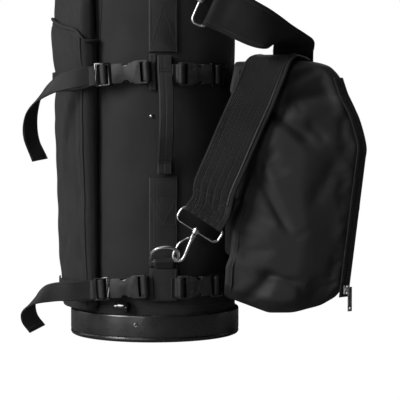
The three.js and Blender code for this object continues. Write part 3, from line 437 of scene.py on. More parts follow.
def lengths(points):
    """Distance from the first point to each one along a row, the mean over all rows."""
    steps = np.linalg.norm(np.diff(points, axis=1), axis=2).mean(axis=0)
    return np.concatenate([[0], np.cumsum(steps)])


def object_of(name, mesh, material):
    mesh.materials.clear()
    mesh.materials.append(material)
    for face in mesh.polygons:
        face.use_smooth = True
    made = bpy.data.objects.new(name, mesh)
    scene.collection.objects.link(made)
    return made


def face_outwards(mesh):
    shape = bmesh.new()
    shape.from_mesh(mesh)
    bmesh.ops.remove_doubles(shape, verts=shape.verts, dist=1e-6)
    bmesh.ops.recalc_face_normals(shape, faces=shape.faces)
    shape.to_mesh(mesh)
    shape.free()


def grid(name, rows, material, ring=False, loop=False, caps=False):
    """Faces over rows of points in millimetres. ring closes each row, loop the last row to the first."""
    points = np.asarray(rows, float) * MM
    count, width = points.shape[:2]
    wide = np.concatenate([points, points[:, :1]], axis=1) if ring else points
    tall = np.concatenate([points, points[:1]]) if loop else points
    u = lengths(wide)
    v = lengths(tall.transpose(1, 0, 2))
    faces, uvs = [], []
    for i in range(count if loop else count - 1):
        for j in range(width if ring else width - 1):
            k, n = (j + 1) % width, (i + 1) % count
            faces.append((i * width + j, i * width + k, n * width + k, n * width + j))
            uvs += [(u[j], v[i]), (u[j + 1], v[i]), (u[j + 1], v[i + 1]), (u[j], v[i + 1])]
    if caps:
        for row in (0, count - 1):
            ends = [row * width + j for j in range(width)]
            faces.append(tuple(ends if row else reversed(ends)))
            uvs += [(points[row][j % width] @ (1, 1, 0), points[row][j % width][2]) for j in ends]
    mesh = bpy.data.meshes.new(name)
    mesh.from_pydata(points.reshape(-1, 3).tolist(), [], faces)
    layer = mesh.uv_layers.new(name="threads")
    layer.data.foreach_set("uv", np.array(uvs, np.float32).ravel())
    if ring and (caps or loop):
        face_outwards(mesh)
    return object_of(name, mesh, material)


def bake(made):
    """Turns modifiers into plain mesh, with the object left at the origin."""
    graph = bpy.context.evaluated_depsgraph_get()
    mesh = bpy.data.meshes.new_from_object(made.evaluated_get(graph))
    made.modifiers.clear()
    made.data = mesh
    return made


def with_modifiers(made, **kinds):
    """Adds modifiers by kind, each with its values, and bakes them."""
    for kind, values in kinds.items():
        modifier = made.modifiers.new(kind, kind)
        for key, value in values.items():
            setattr(modifier, key, value)
    return bake(made)


def thick(name, rows, material, thickness, ring=False, levels=0):
    """A skin of cloth over rows of points, given its thickness inwards."""
    skin = grid(name, rows, material, ring=ring)
    if levels:
        with_modifiers(skin, SUBSURF={"levels": levels, "render_levels": levels})
    return with_modifiers(skin, SOLIDIFY={"thickness": thickness * MM, "offset": -1.0,
                                          "use_even_offset": False})


def settle(made, body, slot, *nodes):
    """The piece rides on its body and stands for these CAD nodes, which it hides. slot is not used."""
    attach(made, body)
    if nodes:
        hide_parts(*nodes)
    triangles = sum(len(face.vertices) - 2 for face in made.data.polygons)
    print(f"{made.name}: {triangles} triangles on {body}")
    return made


def settle_between(made, node):
    """Bakes the piece's place into its mesh and hides the CAD node that it stands for."""
    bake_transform(made)
    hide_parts(node)
    return made


# %% Helpers: turned shapes, paths and sections
def turned(name, profile, material, sides=160, from_deg=0.0, to_deg=360.0, wobble=None):
    """A profile of [radius, height] points turned round the case's axis."""
    full = abs(to_deg - from_deg) >= 360
    angles = np.linspace(from_deg, to_deg, sides, endpoint=not full)
    rows = []
    for radius, z in profile:
        rows.append([around(a, radius + (wobble(a, z) if wobble else 0.0), z) for a in angles])
    made = grid(name, rows, material, ring=full)
    face_outwards(made.data)
    return made


def rounded(profile, radius, steps=4, closed=True):
    """The profile with each corner replaced by a short curve."""
    points = [np.array(p, float) for p in profile]
    out = []
    for i, corner in enumerate(points):
        if not closed and i in (0, len(points) - 1):
            out.append(corner)
            continue
        before, after = points[i - 1], points[(i + 1) % len(points)]
        reach = min(radius, np.linalg.norm(before - corner) / 2.2, np.linalg.norm(after - corner) / 2.2)
        start = corner + (before - corner) / max(np.linalg.norm(before - corner), 1e-9) * reach
        end = corner + (after - corner) / max(np.linalg.norm(after - corner), 1e-9) * reach
        for t in np.linspace(0, 1, steps):
            out.append((1 - t) ** 2 * start + 2 * t * (1 - t) * corner + t * t * end)
    return out


def distance_along(points):
    """Distance from the first point of a line to each one."""
    return np.concatenate([[0], np.cumsum(np.linalg.norm(np.diff(points, axis=0), axis=1))])


def at_marks(points, run, marks):
    """The points at some distances along a line, whose own points lie at the distances in run."""
    return np.array([np.interp(marks, run, column) for column in points.T]).T


def smooth_path(stops, count):
    """Evenly spaced points on a smooth curve through the stops, of any number of columns."""
    stops = np.asarray(stops, float)
    gaps = np.linalg.norm(np.diff(stops[:, :3], axis=0), axis=1) ** 0.5
    knots = np.concatenate([[0], np.cumsum(gaps)])
    ends = np.vstack([2 * stops[0] - stops[1], stops, 2 * stops[-1] - stops[-2]])
    marks = np.concatenate([[-gaps[0]], knots, [knots[-1] + gaps[-1]]])
    fine = []
    for t in np.linspace(0, knots[-1], 24 * len(stops)):
        i = int(np.clip(np.searchsorted(knots, t, side="right") - 1, 0, len(stops) - 2))
        p, k = ends[i:i + 4], marks[i:i + 4]
        a = [(k[j + 1] - t) / (k[j + 1] - k[j]) * p[j] + (t - k[j]) / (k[j + 1] - k[j]) * p[j + 1]
             for j in range(3)]
        b = [(k[j + 2] - t) / (k[j + 2] - k[j]) * a[j] + (t - k[j]) / (k[j + 2] - k[j]) * a[j + 1]
             for j in range(2)]
        fine.append((k[2] - t) / (k[2] - k[1]) * b[0] + (t - k[1]) / (k[2] - k[1]) * b[1])
    fine = np.array(fine)
    run = distance_along(fine[:, :3])
    return at_marks(fine, run, np.linspace(0, run[-1], count))


def unit(vector):
    return vector / max(np.linalg.norm(vector), 1e-12)


def flat_section(width, thickness, columns=8, bow=0.0):
    """Points round a strap's section: flat faces, rounded edges, and a slight bow."""
    half, r = width / 2, thickness / 2
    top = [(x, r + bow * (1 - (x / half) ** 2)) for x in np.linspace(-half + r, half - r, columns)]
    right = [(half - r + r * math.sin(a), r * math.cos(a)) for a in (math.pi / 4, math.pi / 2, 2.356)]
    bottom = [(x, y - 2 * r) for x, y in reversed(top)]
    left = [(-x, y) for x, y in reversed(right)]
    return top + right + bottom + left


def sweep(name, stops, sides, section, material, count, wave=None):
    """A section carried along stops. sides are the directions across it, one for each stop."""
    path = smooth_path(np.hstack([np.asarray(stops, float), np.asarray(sides, float)]), count)
    places = path[:, :3]
    tangents = np.gradient(places, axis=0)
    rows = []
    for i, (centre, side) in enumerate(zip(places, path[:, 3:])):
        side = unit(side)
        face = unit(np.cross(unit(tangents[i]), side))
        lift = wave(i / (count - 1)) if wave else 0.0
        rows.append([centre + side * a + face * (b + lift) for a, b in section])
    return grid(name, rows, material, ring=True, caps=True)


def wire(name, points, normal, radius, material, loop=False, sides=16):
    """Round wire along points in a plane; radius is one number, or one for each point."""
    points = np.asarray(points, float)
    radii = np.broadcast_to(radius, len(points))
    rows = []
    for i, point in enumerate(points):
        before = points[i - 1] if loop or i else points[0]
        after = points[(i + 1) % len(points)] if loop or i + 1 < len(points) else points[-1]
        side = unit(np.cross(unit(after - before), normal))
        angles = np.linspace(0, 2 * math.pi, sides, endpoint=False)
        rows.append([point + radii[i] * (side * math.cos(a) + np.asarray(normal) * math.sin(a))
                     for a in angles])
    return grid(name, rows, material, ring=True, caps=not loop, loop=loop)


def joined(name, pieces):
    """Several meshes as one object."""
    shape = bmesh.new()
    materials = []
    for piece in pieces:
        start = len(shape.faces)
        shape.from_mesh(piece.data)
        shape.faces.ensure_lookup_table()
        for material in piece.data.materials:
            if material not in materials:
                materials.append(material)
        for face in shape.faces[start:]:
            face.material_index = materials.index(piece.data.materials[face.material_index])
        bpy.data.objects.remove(piece)
    mesh = bpy.data.meshes.new(name)
    shape.to_mesh(mesh)
    shape.free()
    made = bpy.data.objects.new(name, mesh)
    scene.collection.objects.link(made)
    for material in materials:
        mesh.materials.append(material)
    return made

# %% [markdown]
# ### Copies along a line
# Stitches and zip teeth are one small shape copied many times, so Geometry Nodes make
# them. The script hands the tree bare points, each with two named directions; the tree turns a
# bead to them, makes the copies real and gives them their material.


# %% Geometry Nodes: beads on points
def input_of(tree, title, kind, value=None):
    socket = tree.interface.new_socket(title, in_out="INPUT", socket_type="NodeSocket" + kind)
    if value is not None:
        socket.default_value = value
    return socket


beads = bpy.data.node_groups.new("beads_on_points", "GeometryNodeTree")
input_of(beads, "Geometry", "Geometry")
input_of(beads, "Size", "Vector", (0.0006, 0.0006, 0.0016))
input_of(beads, "Sides", "Int", 6)
input_of(beads, "Rings", "Int", 4)
input_of(beads, "Material", "Material")
beads.interface.new_socket("Geometry", in_out="OUTPUT", socket_type="NodeSocketGeometry")
entry = beads.nodes.new("NodeGroupInput")
leave = beads.nodes.new("NodeGroupOutput")
bead = beads.nodes.new("GeometryNodeMeshUVSphere")
bead.inputs["Radius"].default_value = 1.0
sized = beads.nodes.new("GeometryNodeTransform")
copies = beads.nodes.new("GeometryNodeInstanceOnPoints")
real = beads.nodes.new("GeometryNodeRealizeInstances")
painted = beads.nodes.new("GeometryNodeSetMaterial")
smooth = beads.nodes.new("GeometryNodeSetShadeSmooth")
turns = []
for title, axis in (("along", "Z"), ("across", "X")):
    read = beads.nodes.new("GeometryNodeInputNamedAttribute")
    read.data_type = "FLOAT_VECTOR"
    read.inputs["Name"].default_value = title
    turn = beads.nodes.new("FunctionNodeAlignEulerToVector")
    turn.axis = axis
    turn.pivot_axis = "AUTO" if axis == "Z" else "Z"
    beads.links.new(read.outputs["Attribute"], turn.inputs["Vector"])
    if turns:
        beads.links.new(turns[-1].outputs[0], turn.inputs["Rotation"])
    turns.append(turn)
beads.links.new(entry.outputs["Sides"], bead.inputs["Segments"])
beads.links.new(entry.outputs["Rings"], bead.inputs["Rings"])
beads.links.new(bead.outputs[0], sized.inputs["Geometry"])
beads.links.new(entry.outputs["Size"], sized.inputs["Scale"])
beads.links.new(entry.outputs["Geometry"], copies.inputs["Points"])
beads.links.new(sized.outputs[0], copies.inputs["Instance"])
beads.links.new(turns[-1].outputs[0], copies.inputs["Rotation"])
beads.links.new(copies.outputs[0], real.inputs[0])
beads.links.new(real.outputs[0], smooth.inputs[0])
beads.links.new(smooth.outputs[0], painted.inputs["Geometry"])
beads.links.new(entry.outputs["Material"], painted.inputs["Material"])
beads.links.new(painted.outputs[0], leave.inputs[0])
print("tree:", beads.name, "with", len(beads.nodes), "nodes")


# %% Helpers: rows of beads
def run_tree(made, tree, **inputs):
    """Runs a Geometry Nodes tree on the object, with its inputs set by their sockets' identifiers."""
    modifier = made.modifiers.new(tree.name, "NODES")
    modifier.node_group = tree
    for socket in tree.interface.items_tree:
        title = socket.name.replace(" ", "_")
        if socket.in_out == "INPUT" and title in inputs:
            modifier[socket.identifier] = inputs[title]
    return bake(made)


def beads_on(name, points, along, across, size, material, sides=6, rings=4):
    """One bead at each point (mm), its Z along one direction and its X across."""
    mesh = bpy.data.meshes.new(name)
    mesh.from_pydata((np.asarray(points, float) * MM).tolist(), [], [])
    for title, values in (("along", along), ("across", across)):
        layer = mesh.attributes.new(title, "FLOAT_VECTOR", "POINT")
        layer.data.foreach_set("vector", np.asarray(values, np.float32).ravel())
    made = bpy.data.objects.new(name, mesh)
    scene.collection.objects.link(made)
    return run_tree(made, beads, Size=tuple(s * MM for s in size), Sides=sides, Rings=rings,
                    Material=material)


def evenly(points, pitch):
    """Points at an even pitch along a polyline, and the direction at each."""
    points = np.asarray(points, float)
    run = distance_along(points)
    count = max(int(run[-1] / pitch), 1)
    marks = (np.arange(count) + 0.5) * run[-1] / count
    nearby = 0.05
    ahead = at_marks(points, run, marks + nearby)
    return at_marks(points, run, marks), ahead - at_marks(points, run, marks - nearby)


def sewing(name, lines, pitch, size, out=None):
    """Rows of stitches along lines (mm). out is the cloth's outward direction, or the case's own."""
    here, along = [np.vstack(part) for part in zip(*[evenly(line, pitch) for line in lines])]
    facing = here * (1, 1, 0) if out is None else np.broadcast_to(out, here.shape)
    return beads_on(name, here, along, np.cross(along, facing), size, thread)


def stitched(name, lines, body, slot="webbing", pitch=3.0, size=(0.42, 0.36, 1.25)):
    return settle(sewing(name, lines, pitch, size), body, slot)


# %% [markdown]
# ## Base cup
# The cup is a shallow turned pot, coated satin black. A plain profile turned round the axis
# makes it, with small rounds on every edge, because those rounds catch the light and tell the
# eye that the edge is metal. Four button-head screws hold it to a hoop inside the sleeve.

# %% Base cup
_, cup_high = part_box("base_cup")
CUP_R = cup_high.x / MM
CUP_TOP = cup_high.z / MM
CUP_WALL = 4.4
GROOVE_Z = 6.3
cup_profile = [
    (0, 4), (CUP_R - CUP_WALL, 4), (CUP_R - CUP_WALL, CUP_TOP - 1.2),
    (CUP_R - CUP_WALL + 1.0, CUP_TOP), (CUP_R - 1.6, CUP_TOP), (CUP_R - 0.4, CUP_TOP - 1.0),
    (CUP_R, CUP_TOP - 2.2), (CUP_R, GROOVE_Z + 1.2), (CUP_R - 0.7, GROOVE_Z + 0.4),
    (CUP_R - 0.7, GROOVE_Z - 0.4), (CUP_R, GROOVE_Z - 1.2), (CUP_R, 3), (CUP_R - 1.2, 1.0),
    (CUP_R - 3.4, 0), (0, 0),
]
base_cup = turned("base_cup_shell", rounded(cup_profile, 0.5, closed=False), cup_coating, sides=200)
settle(base_cup, "root", "cup_coating", "base_cup")

# %% Base screws
SCREW_Z = 22.7
SCREW_FIRST_DEG = -11
HEAD_R = 3.5


def screw_head(deg):
    """A button head with a six-sided socket, facing outwards at an angle round the cup."""
    out, side, up = around(deg, 1), around(deg + 90, 1), np.array((0, 0, 1.0))
    rows = []
    for radius, rise, sides in ((HEAD_R, -2.0, 0), (HEAD_R, 0.5, 0), (HEAD_R * 0.93, 1.0, 0),
                                (HEAD_R * 0.72, 1.35, 0), (1.75, 1.55, 6), (1.65, 1.4, 6),
                                (1.6, -0.3, 6), (0.1, -0.5, 0)):
        row = []
        for a in np.linspace(0, 2 * math.pi, 24, endpoint=False):
            flat = math.cos(math.pi / 6) / math.cos(a % (math.pi / 3) - math.pi / 6) if sides else 1.0
            spoke = radius * flat
            row.append(out * (CUP_R - 0.9 + rise) + side * spoke * math.cos(a)
                       + up * (SCREW_Z + spoke * math.sin(a)))
        rows.append(row)
    return grid("screw", rows, dark_steel, ring=True, caps=True)


screw_degs = [SCREW_FIRST_DEG + 90 * i for i in range(4)]
screws = joined("base_screws", [screw_head(deg) for deg in screw_degs])
settle(screws, "root", "bright_steel", *[f"base_screw_{i + 1}" for i in range(4)])

# %% [markdown]
# ## Sleeve
# The sleeve is heavy woven nylon over foam. It isn't a perfect tube: the straps pull shallow
# waists into it, and the cloth ripples a little between them. A turned profile with a small
# wobble gives both, and the raised seams are separate rolls of cloth laid on it.

# %% Sleeve
_, sleeve_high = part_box("body_sleeve")
BODY_R = 110.0
BODY_TOP = sleeve_high.z / MM
LOWER_BELT_Z = 73.0
UPPER_BELT_Z = BODY_TOP - 211.7
FLOOR_TOP = 4.3


def sleeve_wobble(deg, z):
    """How far the cloth stands off a true tube: waists at the straps and long soft ripples."""
    waist = sum(math.exp(-((z - belt) / 26) ** 2) for belt in (LOWER_BELT_Z, UPPER_BELT_Z))
    ripple = 0.35 * math.sin(math.radians(deg) * 5 + z * 0.021) * math.sin(z * 0.033 + 1.3)
    ripple += 0.22 * math.sin(math.radians(deg) * 11 - z * 0.05)
    held = min(max((z - 38) / 20, 0), 1) * min(max((BODY_TOP - 20 - z) / 20, 0), 1)
    return (ripple - 0.9 * waist) * held - 0.1


outside = [(BODY_R, z) for z in np.linspace(FLOOR_TOP, BODY_TOP - 2, 110)]
inside = [(BODY_R - 2.4, BODY_TOP - 1.6), (BODY_R - 2.4, FLOOR_TOP), (BODY_R, FLOOR_TOP)]
sleeve = turned("sleeve", outside + [(BODY_R - 0.8, BODY_TOP - 0.6)] + inside, sleeve_nylon,
                sides=180, wobble=sleeve_wobble)
settle(sleeve, "root", "case_fabric", "body_sleeve")

# %% Sleeve seams
def on_sleeve(deg, z, lift=0.0):
    return around(deg, BODY_R + lift + sleeve_wobble(deg, z), z)


def cord_seam(name, path, radius, material):
    """A roll of cloth along a path of points, such as piping."""
    path = np.asarray(path, float)
    tangents = np.gradient(path, axis=0)
    rows = []
    for point, tangent in zip(path, tangents):
        out = unit(point * (1, 1, 0))
        side = unit(np.cross(unit(tangent), out))
        rows.append([point + radius * (side * math.cos(a) + out * math.sin(a))
                     for a in np.linspace(0, 2 * math.pi, 8, endpoint=False)])
    return grid(name, rows, material, ring=True, caps=True)


slanted = [on_sleeve(-33 - 7 * t, 530 - 150 * t, 0.2) for t in np.linspace(0, 1, 60)]
back_seam = [on_sleeve(180, z, 0.2) for z in np.linspace(40, 540, 120)]
seams = joined("sleeve_seams", [cord_seam("seam", path, 0.9, sleeve_nylon)
                                for path in (slanted, back_seam)])
settle(seams, "root", "case_fabric")
hem_line = [on_sleeve(deg, 46, 0.5) for deg in np.linspace(-180, 180, 400)]
seam_lines = [[on_sleeve(deg, z, 0.35) for z in np.linspace(44, 540, 90)] for deg in (176.6, 183.4)]
stitched("sleeve_stitches", [hem_line] + seam_lines, "root", slot="case_fabric")

# %% [markdown]
# ## Linings
# Foam lines the sleeve, the lid and the floor. It only shows when the lid is open, but then it
# is the first thing seen: soft rolled edges, and a dished pad where the tube's end sits.

# %% Linings
FOAM_OUTER = BODY_R - 2.7
FOAM_INNER = FOAM_OUTER - 8


def puffed(deg):
    """Channels sewn down the lining every 30 degrees pull it in between soft swells."""
    return 0.9 * abs(math.sin(math.radians(deg) * 6)) ** 0.4 - 0.9


lining_rows = [(FOAM_OUTER, 34), (FOAM_OUTER, BODY_TOP - 3), (FOAM_OUTER - 4, BODY_TOP - 1.2),
               (FOAM_INNER, BODY_TOP - 5), (FOAM_INNER, BODY_TOP - 30)]
lining_rows += [(FOAM_INNER, z) for z in np.linspace(BODY_TOP - 60, 36, 30)]
lining = turned("sleeve_lining", rounded(lining_rows + [(FOAM_OUTER, 34)], 3, closed=False),
                foam_lining, sides=144,
                wobble=lambda deg, z: -puffed(deg) - 0.9 if z < BODY_TOP - 8 else 0)
settle(lining, "root", "foam", "body_foam")

PAD_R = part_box("base_pad")[1].x / MM
PAD_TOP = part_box("base_pad")[1].z / MM
floor_rows = [(0, PAD_TOP - 1.0), (PAD_R * 0.5, PAD_TOP - 0.8), (PAD_R - 8, PAD_TOP),
              (PAD_R - 1.5, PAD_TOP - 2), (PAD_R, PAD_TOP - 6), (PAD_R - 1, 5), (0, 4.6)]
floor_pad = turned("floor_pad", rounded(floor_rows, 2.5, closed=False), foam_lining, sides=96)
settle(floor_pad, "root", "foam", "base_pad")
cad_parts["base_hoop"].data.materials.clear()
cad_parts["base_hoop"].data.materials.append(moulded_plastic)

# %% [markdown]
# ## Lid
# The lid is a low dome of the same nylon with piping at its shoulder. It meets the sleeve in a
# coil zip: two tapes, each with a row of teeth, the upper ones half a pitch ahead of the lower.
# The teeth are beads that Geometry Nodes copy along the tapes' edges.

# %% Lid
LID_BOTTOM = BODY_TOP + 0.6
LID_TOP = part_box("lid_shell")[1].z / MM
dome = [(BODY_R, LID_BOTTOM), (BODY_R, LID_TOP - 21), (BODY_R - 2, LID_TOP - 13.5),
        (BODY_R - 8, LID_TOP - 8.5), (BODY_R - 22, LID_TOP - 4.6), (BODY_R - 52, LID_TOP - 1.5),
        (0, LID_TOP)]
dome_rows = [tuple(p) for p in smooth_path([(r, z, 0) for r, z in dome], 46)[:, :2]]
under = [(max(r - 2.4, 0), z - 2.4) for r, z in reversed(dome_rows) if z - 2.4 > LID_BOTTOM + 1]
lid_profile = dome_rows + under + [(BODY_R - 2.4, LID_BOTTOM), (BODY_R, LID_BOTTOM)]
lid = turned("lid_dome", lid_profile, sleeve_nylon, sides=180,
             wobble=lambda deg, z: 0.25 * math.sin(math.radians(deg) * 9) * (z > LID_BOTTOM + 16) - 0.1)
settle(lid, "lid", "case_fabric", "lid_shell")
piping = turned("lid_piping", [(BODY_R - 0.6 + 1.3 * math.cos(a), LID_TOP - 19 + 1.3 * math.sin(a))
                               for a in np.linspace(0, 2 * math.pi, 9)], tape_webbing, sides=180)
settle(piping, "lid", "webbing")
lid_stitch = [around(deg, BODY_R + 0.15, LID_TOP - 22.5) for deg in np.linspace(-180, 180, 300)]
stitched("lid_stitches", [lid_stitch], "lid", slot="case_fabric")

pad_rows = [(0, LID_BOTTOM + 5.5), (60, LID_BOTTOM + 4.4), (FOAM_OUTER - 8, LID_BOTTOM + 5),
            (FOAM_OUTER - 1, LID_BOTTOM + 9), (FOAM_OUTER - 0.6, LID_TOP - 22),
            (FOAM_OUTER - 9, LID_TOP - 12.5), (FOAM_OUTER - 30, LID_TOP - 8.2), (0, LID_TOP - 4)]
lid_pad = turned("lid_lining", rounded(pad_rows, 4, closed=False), foam_lining, sides=96)
settle(lid_pad, "lid", "foam", "lid_pad")

# %% Lid zip
ZIP_HALF_SPAN = 150
ZIP_R = BODY_R + 0.3
ZIP_TAPE = 13.2
TOOTH_PITCH = 2.2


def zip_tape(name, low, high, body, node):
    mid = (low + high) / 2
    profile = rounded([(ZIP_R + 0.1, low), (ZIP_R + 1.2, low), (ZIP_R + 1.0, mid),
                       (ZIP_R + 1.2, high), (ZIP_R + 0.1, high)], 0.3)
    tape = turned(name, profile + profile[:1], tape_webbing, sides=220, from_deg=-ZIP_HALF_SPAN,
                  to_deg=ZIP_HALF_SPAN)
    settle(tape, body, "webbing", node)


def lid_teeth(name, z, shift, body):
    step = math.degrees(TOOTH_PITCH / ZIP_R)
    degs = np.arange(-ZIP_HALF_SPAN + 1, ZIP_HALF_SPAN - 1, step) + shift * step
    points = [around(deg, ZIP_R + 1.5, z) for deg in degs]
    along = [(0, 0, 1)] * len(degs)
    across = [around(deg, 1) for deg in degs]
    settle(beads_on(name, points, along, across, (0.9, 0.55, 1.9), zip_plastic, 8, 5), body, "webbing")


zip_tape("lid_zip_tape_lower", BODY_TOP - ZIP_TAPE, BODY_TOP - 0.1, "root", "zip_tape_lower")
zip_tape("lid_zip_tape_upper", LID_BOTTOM + 0.1, LID_BOTTOM + ZIP_TAPE, "lid", "zip_tape_upper")
lid_teeth("lid_zip_teeth_lower", BODY_TOP - 1.0, 0.0, "root")
lid_teeth("lid_zip_teeth_upper", LID_BOTTOM + 1.0, 0.5, "lid")
sewn_half_span = ZIP_HALF_SPAN - 1
for part, body, heights in (("lower", "root", (BODY_TOP - ZIP_TAPE + 2, BODY_TOP - 6)),
                            ("upper", "lid", (LID_BOTTOM + ZIP_TAPE - 2, LID_BOTTOM + 6))):
    tape_edges = [[around(deg, ZIP_R + 1.4, z) for deg in np.linspace(-sewn_half_span, sewn_half_span, 300)]
                  for z in heights]
    stitched(f"zip_tape_stitches_{part}", tape_edges, body, pitch=3.2)

# %% Hinge strip
hinge_rows = [[around(deg, ZIP_R + 0.9 + 0.15 * math.cos((z - BODY_TOP) * 0.4), z)
               for deg in np.linspace(153.5, 206.5, 40)]
              for z in np.linspace(BODY_TOP - 18, LID_BOTTOM + 16, 30)]
hinge_strip = thick("hinge_strip", hinge_rows, sleeve_nylon, 0.9)
face_outwards(hinge_strip.data)
settle_between(hinge_strip,
               "lid_hinge_strip")

# %% [markdown]
# ## Hard parts with crisp edges
# The buckles, zip sliders and pullers already have their true shape in the engineering model, but
# every edge there is knife sharp. `refined` copies a node, merges its loose triangles, dissolves
# the flat ones into whole faces and rounds each edge with a bevel. Real mouldings have such
# rounds, and they carry the highlights.


# %% Helper: a refined copy of a node
def refined(name, node, material, bevel, body, slot, segments=2):
    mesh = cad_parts[node].data.copy()
    shape = bmesh.new()
    shape.from_mesh(mesh)
    bmesh.ops.remove_doubles(shape, verts=shape.verts, dist=2e-6)
    bmesh.ops.dissolve_limit(shape, angle_limit=math.radians(3), verts=shape.verts, edges=shape.edges)
    shape.to_mesh(mesh)
    shape.free()
    made = object_of(name, mesh, material)
    with_modifiers(made, BEVEL={"width": bevel * MM, "segments": segments, "limit_method": "ANGLE",
                                "angle_limit": math.radians(32), "harden_normals": True})
    return settle(made, body, slot, node)


# %% [markdown]
# ## Front webbing, handle and D-ring loops
# A strip of 38 mm webbing is sewn down the front. A thick patch with a box of stitches ends it at
# the top and at the bottom, and the grab handle, a folded strip with a crease along it, springs
# from between the two lengths. Everything follows the sleeve's curve, so one helper bends a flat
# section round the tube.

# %% Front webbing
SPINE_DEG = 7.5
WEB_R = BODY_R + 0.4
WEB_HALF = 19.0


def on_spine(across, radius, z):
    return around(SPINE_DEG + math.degrees(across / radius), radius, z)


def sewn_strip(name, node, width, thickness, z0, z1, radius, material, centre=0.0, puff=0.0):
    section = flat_section(width, thickness, 14)
    rows = []
    for z in np.linspace(z0, z1, max(int((z1 - z0) / 2.5), 6)):
        end = min(z - z0, z1 - z) / 4
        ripple = 0.12 * math.sin(z * 0.22) + 0.1 * math.sin(z * 0.61 + 1)
        lift = thickness / 2 + (puff + ripple) * min(end, 1)
        rows.append([on_spine(centre + a, radius + lift + b, z) for a, b in section])
    made = grid(name, rows, material, ring=True, caps=True)
    return settle(made, "root", "webbing", node)


def strip_z(node):
    low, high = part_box(node)
    return low.z / MM, high.z / MM


for part in ("lower", "upper"):
    sewn_strip(f"front_webbing_{part}", f"webbing_{part}", 2 * WEB_HALF, 1.9,
               *strip_z(f"webbing_{part}"), WEB_R, belt_webbing)
    sewn_strip(f"front_patch_{part}", f"patch_{part}", 2 * WEB_HALF, 2.5, *strip_z(f"patch_{part}"),
               WEB_R + 2.1, tape_webbing, puff=0.25)
    sewn_strip(f"cross_webbing_{part}_band", f"cross_webbing_{part}", 36, 1.7,
               *strip_z(f"cross_webbing_{part}"), WEB_R, belt_webbing)
side_low = strip_z("webbing_strip")[0]
sewn_strip("side_strip", "webbing_strip", 9.5, 1.7, side_low, side_low + 48, WEB_R + 2.0, belt_webbing,
           centre=-14)

# %% Front stitches
TACK_PITCH = 1.3
WEB_TOP = WEB_R + 2.25
PATCH_TOP = WEB_R + 5.0


def box_stitch(z0, z1, half, radius, cross="x"):
    """A sewn box, with a cross, a V or a roof in it."""
    corners = {"bl": (-half, z0), "br": (half, z0), "tl": (-half, z1), "tr": (half, z1),
               "bm": (0, z0), "tm": (0, z1)}
    pairs = ["bl br", "br tr", "tr tl", "tl bl"]
    pairs += {"x": ["bl tr", "br tl"], "v": ["tl bm", "tr bm"], "roof": ["bl tm", "br tm"], "": []}[cross]
    lines = []
    for pair in pairs:
        (a0, b0), (a1, b1) = (corners[key] for key in pair.split())
        lines.append([on_spine(a0 + (a1 - a0) * t, radius, b0 + (b1 - b0) * t)
                      for t in np.linspace(0, 1, 12)])
    return lines


def bar_tack(z, half, radius, rows, pitch=TACK_PITCH):
    return [[on_spine(a, radius, z + pitch * i) for a in np.linspace(-half, half, 12)]
            for i in range(rows)]


def edge_lines(z0, z1, radius, half):
    return [[on_spine(side * half, radius, z) for z in np.linspace(z0, z1, 20)] for side in (-1, 1)]


low_web, high_web = strip_z("webbing_lower"), strip_z("webbing_upper")
low_patch, high_patch = strip_z("patch_lower"), strip_z("patch_upper")
front_lines = box_stitch(low_patch[0] + 5, low_patch[1] - 3.5, 15.5, PATCH_TOP, "")
front_lines += box_stitch(high_patch[0] + 3.5, high_patch[1] - 5, 15.5, PATCH_TOP, "x")
front_lines += bar_tack(low_patch[0] + 2.2, 17, PATCH_TOP, 1)
front_lines += [[on_spine(a, WEB_R + 4.1, side_low + 2.5 + 1.6 * i) for a in np.linspace(-17.8, -10.2, 8)]
                for i in range(3)]
front_lines += box_stitch(low_web[1] - 62, low_web[1] - 28, 16, WEB_TOP, "v")
front_lines += bar_tack(low_web[1] - 6, 16, WEB_TOP, 2, 3.6) + edge_lines(*low_web, WEB_TOP, 17.4)
front_lines += box_stitch(high_web[0] + 8, high_web[0] + 60, 16, WEB_TOP, "roof")
front_lines += bar_tack(high_web[0] + 2, 17, WEB_TOP, 2, 3.6) + edge_lines(*high_web, WEB_TOP, 17.4)
stitched("front_stitches", front_lines, "root", pitch=2.9, size=(0.5, 0.42, 1.3))

# %% Grab handle
handle_low, handle_high = strip_z("grab_handle")
HANDLE_MID = (handle_low + handle_high) / 2
HANDLE_HALF = (handle_high - handle_low) / 2
HANDLE_SEAT = BODY_R + 5.7
HANDLE_REACH = 22.0
spine_side = around(SPINE_DEG + 90, 1)
handle_stops = []
for height, reach in ((0.995, -0.04), (0.8, 0.03), (0.6, 0.4), (0.3, 0.88), (0, 1), (-0.3, 0.88),
                      (-0.6, 0.4), (-0.8, 0.03), (-0.995, -0.04)):
    handle_stops.append(around(SPINE_DEG + 0.5, HANDLE_SEAT + HANDLE_REACH * reach,
                               HANDLE_MID + HANDLE_HALF * height))
handle_section = [(a, b - 0.28 * math.exp(-((a + 1.4) / 0.9) ** 2) * (b > 0))
                  for a, b in flat_section(19.5, 4.6, 27, 0.3)]
handle = sweep("grab_handle_strap", handle_stops, [spine_side] * 9, handle_section, belt_webbing, 90,
               wave=lambda t: 0.25 * math.sin(t * 40))
settle(handle, "root", "webbing", "grab_handle")


def strap_frames(stops, sides, count):
    """Points, side directions and outward directions along a strap."""
    path = smooth_path(np.hstack([np.asarray(stops, float), np.asarray(sides, float)]), count)
    tangents = np.gradient(path[:, :3], axis=0)
    sides = np.array([unit(side) for side in path[:, 3:]])
    faces = np.array([unit(np.cross(unit(t), s)) for t, s in zip(tangents, sides)])
    return path[:, :3], sides, faces


def strap_line(frames, across, lift, start=0.0, end=1.0):
    """A line along a strap, at a distance across it, over a share of its length."""
    places, sides, faces = frames
    n = len(places)
    part = slice(int(start * (n - 1)), int(end * (n - 1)) + 1)
    return places[part] + sides[part] * across + faces[part] * lift


